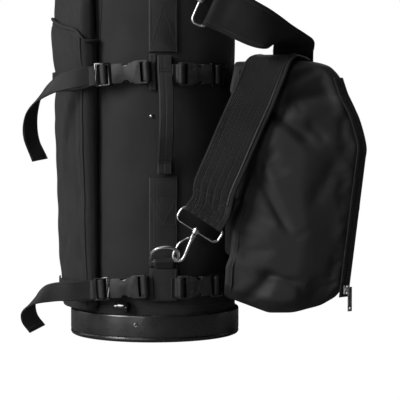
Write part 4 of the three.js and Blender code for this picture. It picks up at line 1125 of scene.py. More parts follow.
def strap_bar(frames, at_share, half, lift, rows):
    """Short rows of stitches across a strap."""
    places, sides, faces = frames
    i = int(at_share * (len(places) - 1))
    along = unit(places[min(i + 1, len(places) - 1)] - places[i - 1])
    return [[places[i] + along * TACK_PITCH * r + sides[i] * a + faces[i] * lift
             for a in np.linspace(-half, half, 9)] for r in range(rows)]


handle_frames = strap_frames(handle_stops, [spine_side] * 9, 90)
handle_lines = [strap_line(handle_frames, a, 2.6) for a in (-8, 8)]
for share in (0.11, 0.135, 0.865, 0.89):
    handle_lines += strap_bar(handle_frames, share, 8.5, 3.1, 2)
stitched("handle_stitches", handle_lines, "root", pitch=2.6)
refined("handle_stud", "handle_rivet", nickel_plate, 0.4, "root", "bright_steel", 3)

# %% D-rings and their loops
RING_BAR_R = BODY_R + 7.6
RING_HALF = 18.0
RING_HEIGHT = 27.0
ring_z = {"lower": 107.5, "upper": BODY_TOP - 81.7}
spine_out = around(SPINE_DEG, 1)


def arc(x, y, r, from_deg, to_deg, steps=8):
    return [(x + r * math.cos(math.radians(a)), y + r * math.sin(math.radians(a)))
            for a in np.linspace(from_deg, to_deg, steps)]


def bezier(p0, p1, p2, p3, steps=14):
    p0, p1, p2, p3 = (np.array(p, float) for p in (p0, p1, p2, p3))
    return [tuple((1 - t) ** 3 * p0 + 3 * t * (1 - t) ** 2 * p1 + 3 * t * t * (1 - t) * p2 + t ** 3 * p3)
            for t in np.linspace(0, 1, steps)]


def ring_outline():
    half, tall, low = RING_HALF, RING_HEIGHT, RING_HEIGHT * 0.35
    right = arc(half - 4, 4, 4, -90, 0)
    right += bezier((half, low), (half, tall * 0.8), (half * 0.55, tall), (0, tall))
    left = [(-x, y) for x, y in reversed(right)]
    return right + left[1:]


for part, z0 in ring_z.items():
    up = 1 if part == "lower" else -1
    leaning = np.array((0, 0, up)) + spine_out
    leaning = leaning / math.sqrt(2)
    origin = spine_out * RING_BAR_R + (0, 0, z0)
    outline = [origin + spine_side * x + leaning * y for x, y in ring_outline()]
    ring_normal = np.cross(spine_side, leaning)
    d_ring = wire(f"d_ring_{part}_wire", outline, ring_normal, 2.15, nickel_plate, loop=True)
    settle(d_ring, f"clip_{part}", "bright_steel", f"d_ring_{part}")
    wrap = [(3.2, -9.0), (3.5, -5.5), (3.6, -1)] + [(7.6 + 3.7 * math.cos(a), 3.7 * math.sin(a))
                                               for a in np.linspace(3.0, -0.6, 9)] + [(8.6, -5), (6.2, -9.0)]
    stops = [spine_out * (BODY_R + f) + (0, 0, z0 + up * h) for f, h in wrap]
    loop = sweep(f"ring_loop_{part}_webbing", stops, [spine_side] * len(stops), flat_section(24.5, 1.7),
                 belt_webbing, 60)
    settle(loop, "root", "webbing", f"ring_loop_{part}")

# %% [markdown]
# ## Snap hooks
# Each end of the shoulder strap carries a cast hook with a sprung gate, on a swivel through a
# wide wire loop. The hook is a wire whose thickness changes along its length, so `wire` takes a
# radius for every point; the swivel's barrel is a stack of rings round the hook's axis.

# %% Snap hooks
EYE_P, EYE_Q, EYE_R = 5.5, 38.6, 7.0
CLIP_Y = -(RING_BAR_R + 3.4)
clip_root = spine_out * RING_BAR_R
toward_viewer = np.array((0, -1.0, 0))
clips = {
    "lower": {"at": (clip_root[0] + 41.15, ring_z["lower"] + 39.4), "p": (-0.893, 0.45),
              "q": (-0.45, -0.893), "loop": (5.4, 8.4), "tilt": -32.6},
    "upper": {"at": (clip_root[0] + 47.45, ring_z["upper"] - 34.6), "p": (-0.787, -0.617),
              "q": (-0.617, 0.787), "loop": (9.1, -4.1), "tilt": 65.8},
}


def hook_point(clip, p, q):
    """A point in a hook's own plane: q runs along the hook, and p across it towards its eye."""
    x = clip["at"][0] + p * clip["p"][0] + q * clip["q"][0]
    z = clip["at"][1] + p * clip["p"][1] + q * clip["q"][1]
    return np.array((x, CLIP_Y, z))


def barrel(name, clip, profile):
    """Rings of [radius, q] round the hook's own axis, in plated metal."""
    p = np.array((clip["p"][0], 0, clip["p"][1]))
    rows = [[hook_point(clip, 0, q) + r * (p * math.cos(a) + toward_viewer * math.sin(a))
             for a in np.linspace(0, 2 * math.pi, 28, endpoint=False)] for r, q in profile]
    return grid(name, rows, nickel_plate, ring=True, caps=True)


LOOP_HALF, LOOP_RISE, LOOP_CORNER = 24, 3, 7


def loop_point(clip, x, y):
    """A point of a clip's wire loop, given in the loop's own frame."""
    tilt = math.radians(clip["tilt"])
    return np.array((clip["at"][0] + clip["loop"][0] + x * math.cos(tilt) - y * math.sin(tilt), CLIP_Y,
                     clip["at"][1] + clip["loop"][1] + x * math.sin(tilt) + y * math.cos(tilt)))


for part, clip in clips.items():
    stops = [(0, 5.2, 3.3), (0, 9, 3.2), (0, 13, 2.7), (-0.4, 20, 2.3), (-1, 28, 2.2),
             (EYE_P - EYE_R, 34, 2.2)]
    stops += [(EYE_P + EYE_R * math.cos(a), EYE_Q + EYE_R * math.sin(a), 2.15)
              for a in np.linspace(math.pi, 0, 9)]
    stops += [(EYE_P + EYE_R, 35, 2.2), (EYE_P + EYE_R, 32.6, 2.0)]
    fine = smooth_path(stops, 80)
    shank = wire("hook", [hook_point(clip, p, q) for p, q, _ in fine], toward_viewer, fine[:, 2],
                 nickel_plate)
    collar = barrel("collar", clip, rounded([(0.2, 5.0), (4.4, 5.0), (4.6, 6.2), (3.7, 7.4), (3.7, 8.6),
                                             (4.1, 9.2), (3.9, 10.6), (0.2, 11.4)], 0.4, closed=False))
    knuckle = wire("knuckle", [hook_point(clip, p, q) for p, q in ((1.0, 12.8), (4.8, 12.4), (5.8, 12.4))],
                   toward_viewer, (2.2, 2.1, 1.8), nickel_plate)
    hook = joined(f"snap_hook_{part}_casting", [shank, collar, knuckle])
    settle(hook, f"hook_{part}", "bright_steel", f"snap_hook_{part}")
    gate_stops = smooth_path([(EYE_P + EYE_R, 31.6, 1.5), (EYE_P + EYE_R, 27, 1.4), (10.8, 21, 1.3),
                              (6.6, 14.5, 1.3), (4.9, 12.6, 1.5)], 30)
    gate = wire(f"hook_gate_{part}_wire", [hook_point(clip, p, q) for p, q, _ in gate_stops],
                toward_viewer, gate_stops[:, 2], nickel_plate, sides=12)
    settle(gate, f"gate_{part}", "bright_steel", f"hook_gate_{part}")
    outline = []
    for quarter, (across, rise) in enumerate(((1, -1), (1, 1), (-1, 1), (-1, -1))):
        outline += arc(across * LOOP_HALF, rise * LOOP_RISE, LOOP_CORNER, 90 * quarter - 90, 90 * quarter)
    frame_wire = wire("frame", [loop_point(clip, x, y) for x, y in outline], toward_viewer, 1.75,
                      nickel_plate, loop=True)
    boss = barrel("boss", clip, rounded([(0.2, -4.9), (3.0, -4.7), (4.5, -3.0), (4.7, 0), (4.7, 3.2),
                                         (4.0, 4.4), (0.2, 4.6)], 0.8, closed=False))
    wire_loop = joined(f"strap_loop_{part}", [frame_wire, boss])
    settle(wire_loop, f"clip_{part}", "bright_steel", f"hook_loop_{part}")

# %% [markdown]
# ## Shoulder strap
# The strap is one wide length of ribbed webbing. Each end is folded round a wire loop and sewn
# back on itself, and the rest lies over the pouch and hangs behind it. Its first part has to
# follow the hook when the clip swings, while its far end stays put; here both halves are
# baked in place.

# %% Shoulder strap
STRAP_HALF = 28.5
POUCH_TOP = UPPER_BELT_Z + 18
POUCH_BACK = 76.0
low_x, low_z = clips["lower"]["at"]
high_x, high_z = clips["upper"]["at"]
strap_start = low_z + 21.7


def folded_start(bar, away, side):
    """Stops for the end folded round a wire loop's bar: back layer, round the bar, front layer."""
    stops = []
    for run, out in ((44, 2.1), (30, 1.9), (14, 2.2), (6, 3.0), (1, 3.5), (-2.6, 2.6), (-3.7, 0),
                     (-2.6, -2.6), (1, -3.4), (8, -2.8), (16, -2.2)):
        stops.append((bar + away * run - toward_viewer * out, side))
    return stops


def climb(share):
    return strap_start + (POUCH_TOP - 1 - strap_start) * share


def strap_stop(x, y, z, *side):
    return (np.array((x, y, z), float), np.array(side, float))


lower_away = np.array((0.539, 0, 0.842))
lower_bar = np.array((low_x + 10.8, CLIP_Y, low_z + 16.8))
lower_run = folded_start(lower_bar, lower_away, np.array((0.842, 0, -0.539)))
lower_run += [
    strap_stop(81, CLIP_Y - 3, climb(0.17), 0.93, 0, -0.36),
    strap_stop(97, CLIP_Y - 2, climb(0.36), 0.92, 0, -0.39),
    strap_stop(114, CLIP_Y + 2, climb(0.56), 0.92, 0, -0.39),
    strap_stop(131, CLIP_Y + 7, climb(0.75), 0.92, 0, -0.38),
    strap_stop(143, CLIP_Y + 12, climb(0.9), 0.94, 0, -0.33),
    strap_stop(152, CLIP_Y + 22, climb(1), 0.96, 0.05, -0.1),
    strap_stop(161, CLIP_Y + 37, POUCH_TOP + 7, 0.98, 0.12, 0),
    strap_stop(172, -50, POUCH_TOP + 7, 0.98, 0.15, 0),
    strap_stop(182, 10, POUCH_TOP + 6, 1, 0.1, 0),
    strap_stop(189, POUCH_BACK - 20, POUCH_TOP + 3, 1, 0, 0),
    strap_stop(193, POUCH_BACK + 7, POUCH_TOP - 23, 1, 0, 0),
    strap_stop(196, POUCH_BACK + 14, POUCH_TOP - 78, 1, 0, 0),
    strap_stop(197, POUCH_BACK + 16, POUCH_TOP - 148, 1, 0, 0),
    strap_stop(198, POUCH_BACK + 17, POUCH_TOP - 188, 1, 0, 0),
    strap_stop(198.5, POUCH_BACK + 20, POUCH_TOP - 200, 1, 0, 0),
    strap_stop(198.5, POUCH_BACK + 24.5, POUCH_TOP - 203, 1, 0, 0),
    strap_stop(198.5, POUCH_BACK + 28.5, POUCH_TOP - 198, 1, 0, 0),
    strap_stop(198.5, POUCH_BACK + 29.5, POUCH_TOP - 172, 1, 0, 0),
]
upper_away = np.array((0.912, 0, -0.41))
upper_bar = np.array((high_x + 18.2, CLIP_Y, high_z - 8.2))
upper_run = folded_start(upper_bar, upper_away, np.array((0.41, 0, 0.912)))
upper_run += [
    strap_stop(high_x + 45.2, CLIP_Y - 3, high_z - 20.4, 0.45, 0, 0.89),
    strap_stop(136, CLIP_Y - 1, POUCH_TOP + 43, 0.5, 0.2, 0.84),
    strap_stop(162, CLIP_Y + 13, POUCH_TOP + 31, 0.62, 0.5, 0.6),
    strap_stop(178, -76, POUCH_TOP + 29, 0.85, 0.45, 0.25),
    strap_stop(188, -30, POUCH_TOP + 26, 0.97, 0.2, 0.1),
    strap_stop(191, 20, POUCH_TOP + 22, 1, 0.05, 0),
    strap_stop(193, POUCH_BACK - 8, POUCH_TOP + 16, 1, 0, 0),
    strap_stop(195, POUCH_BACK + 21, POUCH_TOP - 13, 1, 0, 0),
    strap_stop(197, POUCH_BACK + 28, POUCH_TOP - 68, 1, 0, 0),
    strap_stop(198.5, POUCH_BACK + 29.5, POUCH_TOP - 128, 1, 0, 0),
    strap_stop(198.5, POUCH_BACK + 29.5, POUCH_TOP - 171, 1, 0, 0),
]


def bound_section(width, thickness):
    """A strap's section with its two edges turned over, which makes them thicker."""
    half = width / 2
    rows = []
    for a, b in flat_section(width, thickness, 26):
        edge = 1 / (1 + math.exp((half - 4.2 - abs(a)) * 3))
        rows.append((a, b * (0.72 + 0.35 * edge)))
    return rows


STRAP_COUNT = 260
SEAM_HALF = 23
BOX_HALF = 22
BOX_FROM, BOX_LENGTH = 0.088, 0.035


def crossed_box(frames):
    """A sewn box with a cross in it, on the face of the folded end."""
    places, sides, faces = frames
    corners = {"a": (1, 0), "b": (-1, 0), "c": (-1, 1), "d": (1, 1)}
    lines = []
    for pair in ("ab", "bc", "cd", "da", "ac", "db"):
        (a0, b0), (a1, b1) = [(BOX_HALF * a, BOX_FROM + BOX_LENGTH * b) for a, b in
                              (corners[key] for key in pair)]
        line = []
        for t in np.linspace(0, 1, 12):
            i = (b0 + (b1 - b0) * t) * (len(places) - 1)
            j, rest = int(i), i - int(i)
            here = places[j] * (1 - rest) + places[j + 1] * rest
            line.append(here + sides[j] * (a0 + (a1 - a0) * t) - faces[j] * 1.35)
        lines.append(line)
    return lines


def shoulder_strap(part, run, webbing, bound_edge, swing):
    stops, sides = zip(*run)
    strap = sweep("strap", stops, sides, bound_section(2 * STRAP_HALF, 2.9), webbing, STRAP_COUNT,
                  wave=swing)
    frames = strap_frames(stops, sides, STRAP_COUNT)
    seams = [strap_line(frames, a, lift, 0.07) for a in (-SEAM_HALF, SEAM_HALF) for lift in (-1.25, 1.25)]
    seams += crossed_box(frames)
    stitches = sewing("sewing", seams, 3.2, (0.5, 0.42, 1.35), toward_viewer)
    roll = cord_seam("binding", strap_line(frames, bound_edge, -1.5, 0.12, 0.9), 0.8, thread)
    whole = joined(f"shoulder_strap_{part}_webbing", [strap, stitches, roll])
    settle_between(whole, f"shoulder_strap_{part}")


shoulder_strap("lower", lower_run, strap_webbing, 21.5,
               lambda t: 0.5 * math.sin(t * 31) * min(t * 6, 1))
# The upper run wears the darker copy of the webbing, which is painted shade.
shoulder_strap("upper", upper_run, strap_back, -21.5,
               lambda t: 0.4 * math.sin(t * 23 + 1) * min(t * 6, 1))

# %% [markdown]
# ## Buckles and compression straps
# Two straps run round the case. Each has a side-release buckle on either side of the front
# webbing. A buckle's own frame has X pointing away from the front webbing, so one list of
# places and turns serves the mouldings, the webbing through their slots and the free tails.

# %% Buckles
BUCKLE_Y = -(BODY_R + 9.5)
PLUG_FROM = 47.6
buckles = {
    "upper_left": (-5, BUCKLE_Y, UPPER_BELT_Z + 3, 176, 4),
    "lower_left": (-8, BUCKLE_Y, LOWER_BELT_Z + 2, 176, 4),
    "upper_right": (36, BUCKLE_Y - 0.3, UPPER_BELT_Z, 33, 0),
    "lower_right": (34.5, BUCKLE_Y - 1, LOWER_BELT_Z, 33, 0),
}


def in_buckle(name, x, y, z):
    """A point given in a buckle's own frame, and the direction of its Z."""
    px, py, pz, turn, tilt = buckles[name]
    turn, tilt = math.radians(turn), math.radians(tilt)
    tx, tz = x * math.cos(tilt) + z * math.sin(tilt), z * math.cos(tilt) - x * math.sin(tilt)
    return np.array((px + tx * math.cos(turn) - y * math.sin(turn),
                     py + tx * math.sin(turn) + y * math.cos(turn), pz + tz))


def buckle_frame(name):
    origin = in_buckle(name, 0, 0, 0)
    return [in_buckle(name, *axis) - origin for axis in ((1, 0, 0), (0, 1, 0), (0, 0, 1))]


def buckle_out(name):
    """+1 or -1: which way along the buckle's Y faces the viewer."""
    return -1 if buckle_frame(name)[1][1] > 0 else 1


for name in buckles:
    refined(f"buckle_{name}_socket", f"buckle_socket_{name}", moulded_plastic, 0.55, "root",
            "moulded_plastic", 3)
    refined(f"buckle_{name}_plug", f"buckle_plug_{name}", glossy_plastic, 0.45, f"plug_{name}",
            "moulded_plastic", 2)

# %% Belts
BELT_HALF = 12.5
UP = np.array((0, 0, 1.0))
belt_section = flat_section(2 * BELT_HALF, 1.6, 12)


POCKET_TOP = BODY_TOP - 136.7
POCKET_FOOT = 40.0


def pocket_reach(z):
    """The radius of the pocket's face, which leans outwards as it rises."""
    t = min(max((z - POCKET_FOOT) / (POCKET_TOP - POCKET_FOOT), 0), 1)
    return BODY_R + 17 + 11 * t


def through_plug(name, near, far):
    """Stops through the ladder: up by the inner slot, over the middle bar, down by the outer one."""
    out = buckle_out(name)
    stops = []
    for x, y in ((near, -2.4), (PLUG_FROM + 5.2, -3.4), (PLUG_FROM + 6.6, -1.0), (PLUG_FROM + 7.6, 2.6),
                 (PLUG_FROM + 10.7, 3.5), (PLUG_FROM + 13.8, 2.4), (PLUG_FROM + 15.4, -0.6), (far, -1.2)):
        stops.append((in_buckle(name, x, y * out, 0), buckle_frame(name)[2]))
    return stops


for side, z, start_x in (("upper", UPPER_BELT_Z - 8, -76), ("lower", LOWER_BELT_Z - 8, -79)):
    name = f"{side}_left"
    start_z = z + 5 if side == "upper" else z + 4
    stops = [in_buckle(name, PLUG_FROM + 9, -3.6 * buckle_out(name), 0),
             np.array((start_x, BUCKLE_Y + 4.9, start_z))]
    stops += [around(deg, pocket_reach(z) + lift + 0.5, z)
              for deg, lift in ((-41, 9), (-50, 3), (-60, 2), (-72, 2), (-84, 2), (-92, 2))]
    belt = sweep(f"belt_{name}_webbing", stops, [UP] * len(stops), belt_section, belt_webbing, 90)
    settle_between(belt, f"belt_{name}")

for side, z in (("upper", UPPER_BELT_Z), ("lower", LOWER_BELT_Z)):
    name = f"{side}_right"
    stops, sides = [list(part) for part in zip(*through_plug(name, PLUG_FROM + 3, PLUG_FROM + 22))]
    ends = [in_buckle(name, PLUG_FROM + 20, -4.0 * buckle_out(name), 0), around(52, BODY_R + 2.8, z),
            around(56, BODY_R + 1.6, z), around(62, BODY_R + 1.4, z)]
    belt = sweep(f"belt_{name}_webbing", ends, [UP] * 4, belt_section, belt_webbing, 40)
    threaded = sweep(f"belt_{name}_threaded", stops[1:7], sides[1:7], belt_section, belt_webbing, 40)
    settle(threaded, f"plug_{name}", "webbing")
    settle_between(belt, f"belt_{name}")

# %% Sewn loops in the sockets' slots
for name in buckles:
    out = buckle_out(name)
    stops = [(15.5, -3.6), (11, -4.6), (7.6, -3.5), (6.9, 0), (5.2, 3.9), (2, 5.2), (-1.4, 3.8), (-2.2, 0),
             (-3.4, -3.2), (-9, -4.6)]
    stops = [in_buckle(name, x, y * out, 0) for x, y in stops]
    loop = sweep(f"buckle_{name}_loop", stops, [buckle_frame(name)[2]] * len(stops), belt_section,
                 belt_webbing, 50)
    settle(loop, "root", "webbing")

# %% Free tails
tails = {
    "upper": [(-100, 3.5, -6, 0.1, 0, 1), (-126, 7.5, -14, 0.3, 0, 0.95), (-147, 11.5, -30, 0.5, 0.5, 0.7),
              (-158, 15.5, -54, 0.6, 0.75, 0.2), (-158, 19.5, -84, 0.75, 0.65, -0.05),
              (-147, 21.5, -112, 0.75, 0.62, 0.15)],
    "lower": [(-104, 1.5, -5, 0.05, 0, 1), (-128, 0.5, -6, 0.1, 0.1, 1), (-148, -1.5, -11, 0.4, 0.3, 0.85),
              (-160, -0.5, -24, 0.65, 0.5, 0.5), (-160, 3.5, -40, 0.72, 0.5, 0.35),
              (-150, 7.5, -55, 0.75, 0.5, 0.35)],
}
for part, hang in tails.items():
    name = f"{part}_left"
    belt_z = UPPER_BELT_Z if part == "upper" else LOWER_BELT_Z
    run = through_plug(name, PLUG_FROM + 3, PLUG_FROM + 22)
    run += [(np.array((x, BUCKLE_Y + y, belt_z + z)), np.array(side, float)) for x, y, z, *side in hang]
    stops, sides = zip(*run)
    frames = strap_frames(stops, sides, 180)
    tail = sweep("tail", stops, sides, belt_section, belt_webbing, 180,
                 wave=lambda t: 0.3 * math.sin(t * 29) * t)
    hem = strap_bar(frames, 0.965, 10.5, 1.0, 1) + strap_bar(frames, 0.965, 10.5, -1.0, 1)
    hem += [strap_line(frames, a, lift, 0.3) for a in (-10.6, 10.6) for lift in (-0.9, 0.9)]
    stitches = sewing("sewing", hem, 2.9, (0.42, 0.34, 1.2), toward_viewer)
    settle(joined(f"belt_tail_{part}_webbing", [tail, stitches]), f"plug_{name}", "webbing",
           f"belt_tail_{part}")

# %% Zip sliders, pullers and the cord lock
refined("lid_slider_casting", "lid_zip_slider", nickel_plate, 0.35, "lid_slider", "bright_steel")
refined("lid_puller_tab", "lid_zip_puller", nickel_plate, 0.3, "lid_puller", "bright_steel")
refined("pouch_slider_casting", "pouch_zip_slider", nickel_plate, 0.35, "pouch_slider", "bright_steel")
refined("pouch_puller_tab", "pouch_zip_puller", dark_steel, 0.3, "pouch_puller", "bright_steel")
refined("hem_cord_lock", "cord_lock", glossy_plastic, 0.7, "root", "moulded_plastic", 3)
refined("hem_cord_lock_button", "cord_lock_button", glossy_plastic, 0.7, "lock_button",
        "moulded_plastic", 3)

# %% [markdown]
# ## Soft bags
# The pocket and the pouch are bags of unlined nylon. Each starts as rings of points at rising
# heights, joined as a grid, so the weave follows the cloth. Folds are drawn as strokes, soft
# valleys and ridges where the straps and the load pull. The pouch then goes through a cloth
# simulation, which lets its panels grow a little between their sewn edges and billow.

# %% Helpers: outlines, folds and billowing
def resampled(points, count):
    """The same open line with a set number of even points."""
    points = np.asarray(points, float)
    run = distance_along(points)
    return at_marks(points, run, np.linspace(0, run[-1], count))


def size_at(z, stops):
    heights, sizes = zip(*stops)
    return float(np.interp(z, heights, sizes))


def step(value, low, high):
    t = min(max((value - low) / (high - low), 0), 1)
    return t * t * (3 - 2 * t)


def stroke(x, z, x0, z0, x1, z1, depth, width):
    """How deep one soft fold is at a point of the front: a valley or ridge along a line."""
    dx, dz = x1 - x0, z1 - z0
    t = min(max(((x - x0) * dx + (z - z0) * dz) / (dx * dx + dz * dz), -0.25), 1.25)
    away = math.hypot(x - x0 - t * dx, z - z0 - t * dz)
    fade = 1 - max(abs(t - 0.5) - 0.5, 0) * 3
    return depth * math.exp(-((away / width) ** 2)) * fade


def ripples(u, v, seed, scale, reach):
    """Soft random unevenness: a few crossing waves with fixed phases."""
    rng = np.random.default_rng(seed)
    total = 0.0
    for k in range(7):
        angle, phase, size = rng.uniform(0, math.pi), rng.uniform(0, 6.28), scale * rng.uniform(0.5, 1.6)
        total += math.sin((u * math.cos(angle) + v * math.sin(angle)) * 6.28 / size + phase) / 7
    return total * reach


CLOTH_FRAMES = 20


def billow(made, held, growth, pressure, cap):
    """Cloth that grows between its held edges. held has a weight for each vertex, cap is in mm."""
    before = np.array([v.co[:] for v in made.data.vertices])
    group = made.vertex_groups.new(name="held")
    for i, weight in enumerate(held):
        group.add([i], float(weight), "REPLACE")
    cloth = made.modifiers.new("cloth", "CLOTH")
    settings = cloth.settings
    settings.quality = 6
    settings.mass = 0.25
    settings.tension_stiffness = settings.compression_stiffness = 18
    settings.shear_stiffness = 6
    settings.bending_stiffness = 0.6
    settings.shrink_min = -growth
    settings.use_pressure = True
    settings.uniform_pressure_force = pressure
    settings.vertex_group_mass = "held"
    settings.effector_weights.gravity = 0
    cloth.collision_settings.use_collision = False
    cloth.point_cache.frame_start = 1
    cloth.point_cache.frame_end = CLOTH_FRAMES
    for number in range(1, CLOTH_FRAMES + 1):
        scene.frame_set(number)
    bake(made)
    scene.frame_set(1)
    after = np.array([v.co[:] for v in made.data.vertices])
    shift = after - before
    size = np.linalg.norm(shift, axis=1, keepdims=True)
    shift *= np.minimum(1, cap * MM / np.maximum(size, 1e-9))
    made.data.vertices.foreach_set("co", (before + shift).ravel())
    made.vertex_groups.clear()
    print(made.name, "billowed by", round(float(size.max() / MM), 1), "mm")
    return made


def moved(made, new_place):
    """Moves each vertex by a function of its place in millimetres."""
    for vertex in made.data.vertices:
        vertex.co = Vector(new_place(np.array(vertex.co[:]) / MM) * MM)
    made.data.update()


# %% [markdown]
# ## Side pocket
# A tall flat pocket for the tripod's legs, pinched at the two straps. Its rim is bound with
# tape, and droops towards the front. A thinner collar stands up out of it.

# %% Pocket outline
DROOP_FROM = POCKET_TOP - 90
POCKET_FROM, POCKET_TO = -41.0, -97.0


# Each crease is two ends, a depth and a width.
pocket_creases = [
    (-40, 330, 5, 180, -2.6, 7), (45, 300, 52, 120, -3.2, 6), (20, 322, 30, 270, -2.4, 6),
    (-10, 90, 20, 130, -2.4, 8), (44, 412, 60, 366, -3.6, 5),
]


def pocket_swell(deg, z):
    """How far the pocket's face stands off its plain shape."""
    across = math.sin(math.pi * min(max((deg - POCKET_FROM) / (POCKET_TO - POCKET_FROM), 0), 1))
    pinch = sum(math.exp(-((z - belt + 8) / 24) ** 2) for belt in (LOWER_BELT_Z, UPPER_BELT_Z))
    inside_z = step(z, 42, 60) * (1 - step(z, POCKET_TOP - 14, POCKET_TOP))
    swell = (2.2 * across - 2.6 * pinch * across ** 0.3) * inside_z
    x = (deg + 70) * 2.3
    swell += inside_z * ripples(x, z, 5, 75, 3.0) * across ** 0.4
    return swell + inside_z * sum(stroke(x, z, *crease) for crease in pocket_creases)


def pocket_outline(z, inset=0.0, swell=True, shrink=0.0):
    outer = pocket_reach(z) - inset
    inner = BODY_R + 0.7 + max(inset, 0)
    margin = math.degrees((inset + shrink) / (BODY_R + 10))
    start, end = POCKET_FROM - margin, POCKET_TO + margin
    depth = outer - inner
    polar = [(a, inner) for a in np.linspace(start, end, 12)]
    polar += [(end - 0.5, outer - depth * 0.4), (end + 2.5, outer - depth * 0.14)]
    polar += [(a, outer - shrink * 0.7) for a in np.linspace(end + 6, start - 6, 10)]
    polar += [(start - 2.5, outer), (start + 0.3, outer - depth * 0.14), (start + 2.2, outer - depth * 0.5),
              (start + 2.0, inner + depth * 0.15), (start, inner)]
    ring = resampled(rounded([around(a, r) for a, r in polar], 6, closed=False), 128)[:-1]
    out = []
    for x, y, _ in ring:
        deg = math.degrees(math.atan2(x, -y))
        r = math.hypot(x, y)
        share = step(r, inner + 1, inner + depth * 0.8)
        if swell:
            r += pocket_swell(deg, z) * share
        out.append(around(deg, max(r, BODY_R + 0.6), z))
    return out


def rim_drop(deg):
    """The rim slopes down to the front and sinks steeply at its front end."""
    return 18 * math.exp(min((deg - POCKET_FROM) / 4, 0)) + 16 * step(deg, -88, -50)


def drooped(rows, amount=1.0):
    """Lowers rows towards the rim by the droop, leaving those below DROOP_FROM."""
    out = []
    for row in rows:
        lowered = []
        for point in row:
            deg = math.degrees(math.atan2(point[0], -point[1]))
            share = step(point[2], DROOP_FROM, POCKET_TOP)
            lowered.append(point - (0, 0, amount * rim_drop(deg) * share))
        out.append(lowered)
    return out


# %% Pocket shell
pocket_rows = []
for z in np.concatenate([[POCKET_FOOT] * 4, np.linspace(POCKET_FOOT + 3, POCKET_TOP, 92)]):
    k = len(pocket_rows)
    ring = pocket_outline(float(z), shrink=(0, 0, 0, 3)[k] if k < 4 else 2 * (k == 4))
    if k < 3:
        middle = np.mean(ring, axis=0)
        ring = [middle + (p - middle) * (0.02, 0.4, 0.8)[k] for p in ring]
    pocket_rows.append(ring)
pocket = thick("pocket_bag", drooped(pocket_rows), sleeve_nylon, 1.8, ring=True, levels=1)
settle(pocket, "root", "case_fabric", "pocket_shell")

rim_ring = drooped([pocket_outline(POCKET_TOP, -0.2)])[0]
rim = wire("pocket_rim", [p + (0, 0, 2.2) for p in rim_ring], UP, 2.4, tape_webbing, loop=True, sides=14)
settle(rim, "root", "webbing", "pocket_binding")


def on_pocket(deg, z, lift):
    """A point on the pocket's face, lowered with its rim."""
    drop = rim_drop(deg) * step(z, DROOP_FROM, POCKET_TOP)
    return around(deg, pocket_reach(z) + pocket_swell(deg, z) + lift, z - drop)


def pocket_upright(deg, lift, z0=POCKET_FOOT + 8, z1=POCKET_TOP - 8):
    return [on_pocket(deg, z, lift) for z in np.linspace(z0, z1, 90)]


pocket_sewing = [[on_pocket(deg, POCKET_TOP - drop, 0.25)
                  for deg in np.linspace(POCKET_FROM - 4, POCKET_TO + 2, 70)] for drop in (4.0, 9.0)]
pocket_sewing += [pocket_upright(deg, 0.2) for deg in (-45.6, -46.8)]
stitched("pocket_stitches", pocket_sewing, "root", slot="case_fabric", pitch=2.8)
welt_path = pocket_upright(-43.4, -0.3, POCKET_FOOT + 6, POCKET_TOP - 2)
settle(cord_seam("pocket_welt", welt_path, 1.4, sleeve_nylon), "root", "case_fabric")


# %% Pocket collar
def collar_outline(z):
    t = step(z, POCKET_TOP, BODY_TOP - 36)
    ring = []
    for point in pocket_outline(POCKET_TOP, 3.2 + 3.5 * t, swell=False):
        deg = math.degrees(math.atan2(point[0], -point[1]))
        r = math.hypot(point[0], point[1])
        face = step(r, BODY_R + 5, BODY_R + 20)
        tall = step(z, POCKET_TOP + 4, POCKET_TOP + 60)
        r += face * (1.6 * math.sin(deg * 0.62 + z * 0.03) * math.sin(deg * 0.33 + 1) - 1.2 * tall)
        r += face * ripples(deg * 2.3, z, 9, 46, 3.4) * (0.4 + 0.6 * tall)
        ring.append(around(deg, max(r, BODY_R + 1.0), z))
    return ring


collar_rows = [collar_outline(z) for z in np.linspace(POCKET_TOP - 46, BODY_TOP - 36.5, 60)]
collar = thick("pocket_collar_cloth", drooped(collar_rows, 0.25), sleeve_nylon, 1.1, ring=True, levels=1)
settle(collar, "root", "case_fabric", "pocket_collar")
hem_ring = drooped([collar_outline(BODY_TOP - 37.5)], 0.25)[0]
collar_hem = wire("pocket_collar_hem", hem_ring, UP, 1.8, sleeve_nylon, loop=True, sides=10)
settle(collar_hem, "root", "case_fabric")

# %% [markdown]
# ## Side pouch
# The big pouch bulges forwards and outwards. Its outline at each height is made of six runs
# between sewn edges, each with a fixed number of points, so the edges stay in line from bottom
# to top. Deep folds run across its front, and the lower end slumps.

# %% Pouch outline
POUCH_FOOT = 34.0
BROW = POUCH_TOP - 112
right_stops = [(POUCH_FOOT, 250), (POUCH_FOOT + 23, 256), (BROW, 280), (BROW + 33, 272), (BROW + 69, 255),
               (POUCH_TOP, 242)]
front_stops = [(POUCH_FOOT, -92), (POUCH_FOOT + 23, -100), (BROW, -100), (POUCH_TOP, -86)]
back_stops = [(POUCH_FOOT, 66), (POUCH_FOOT + 23, 76), (BROW, 76), (POUCH_TOP, 58)]
edge_stops = [(POUCH_FOOT, 93), (95, 95), (114, 101), (155, 106), (218, 125), (POUCH_TOP - 68, 118),
              (POUCH_TOP - 40, 100), (POUCH_TOP, 108)]
pinch_stops = [(LOWER_BELT_Z + 22, 1), (LOWER_BELT_Z + 41, 0), (UPPER_BELT_Z - 38, 0),
               (UPPER_BELT_Z - 22, 1)]
CORNER_R = 22.0
INNER_R = BODY_R + 5.6
RUN_COUNTS = (15, 25, 27, 29, 13, 13)


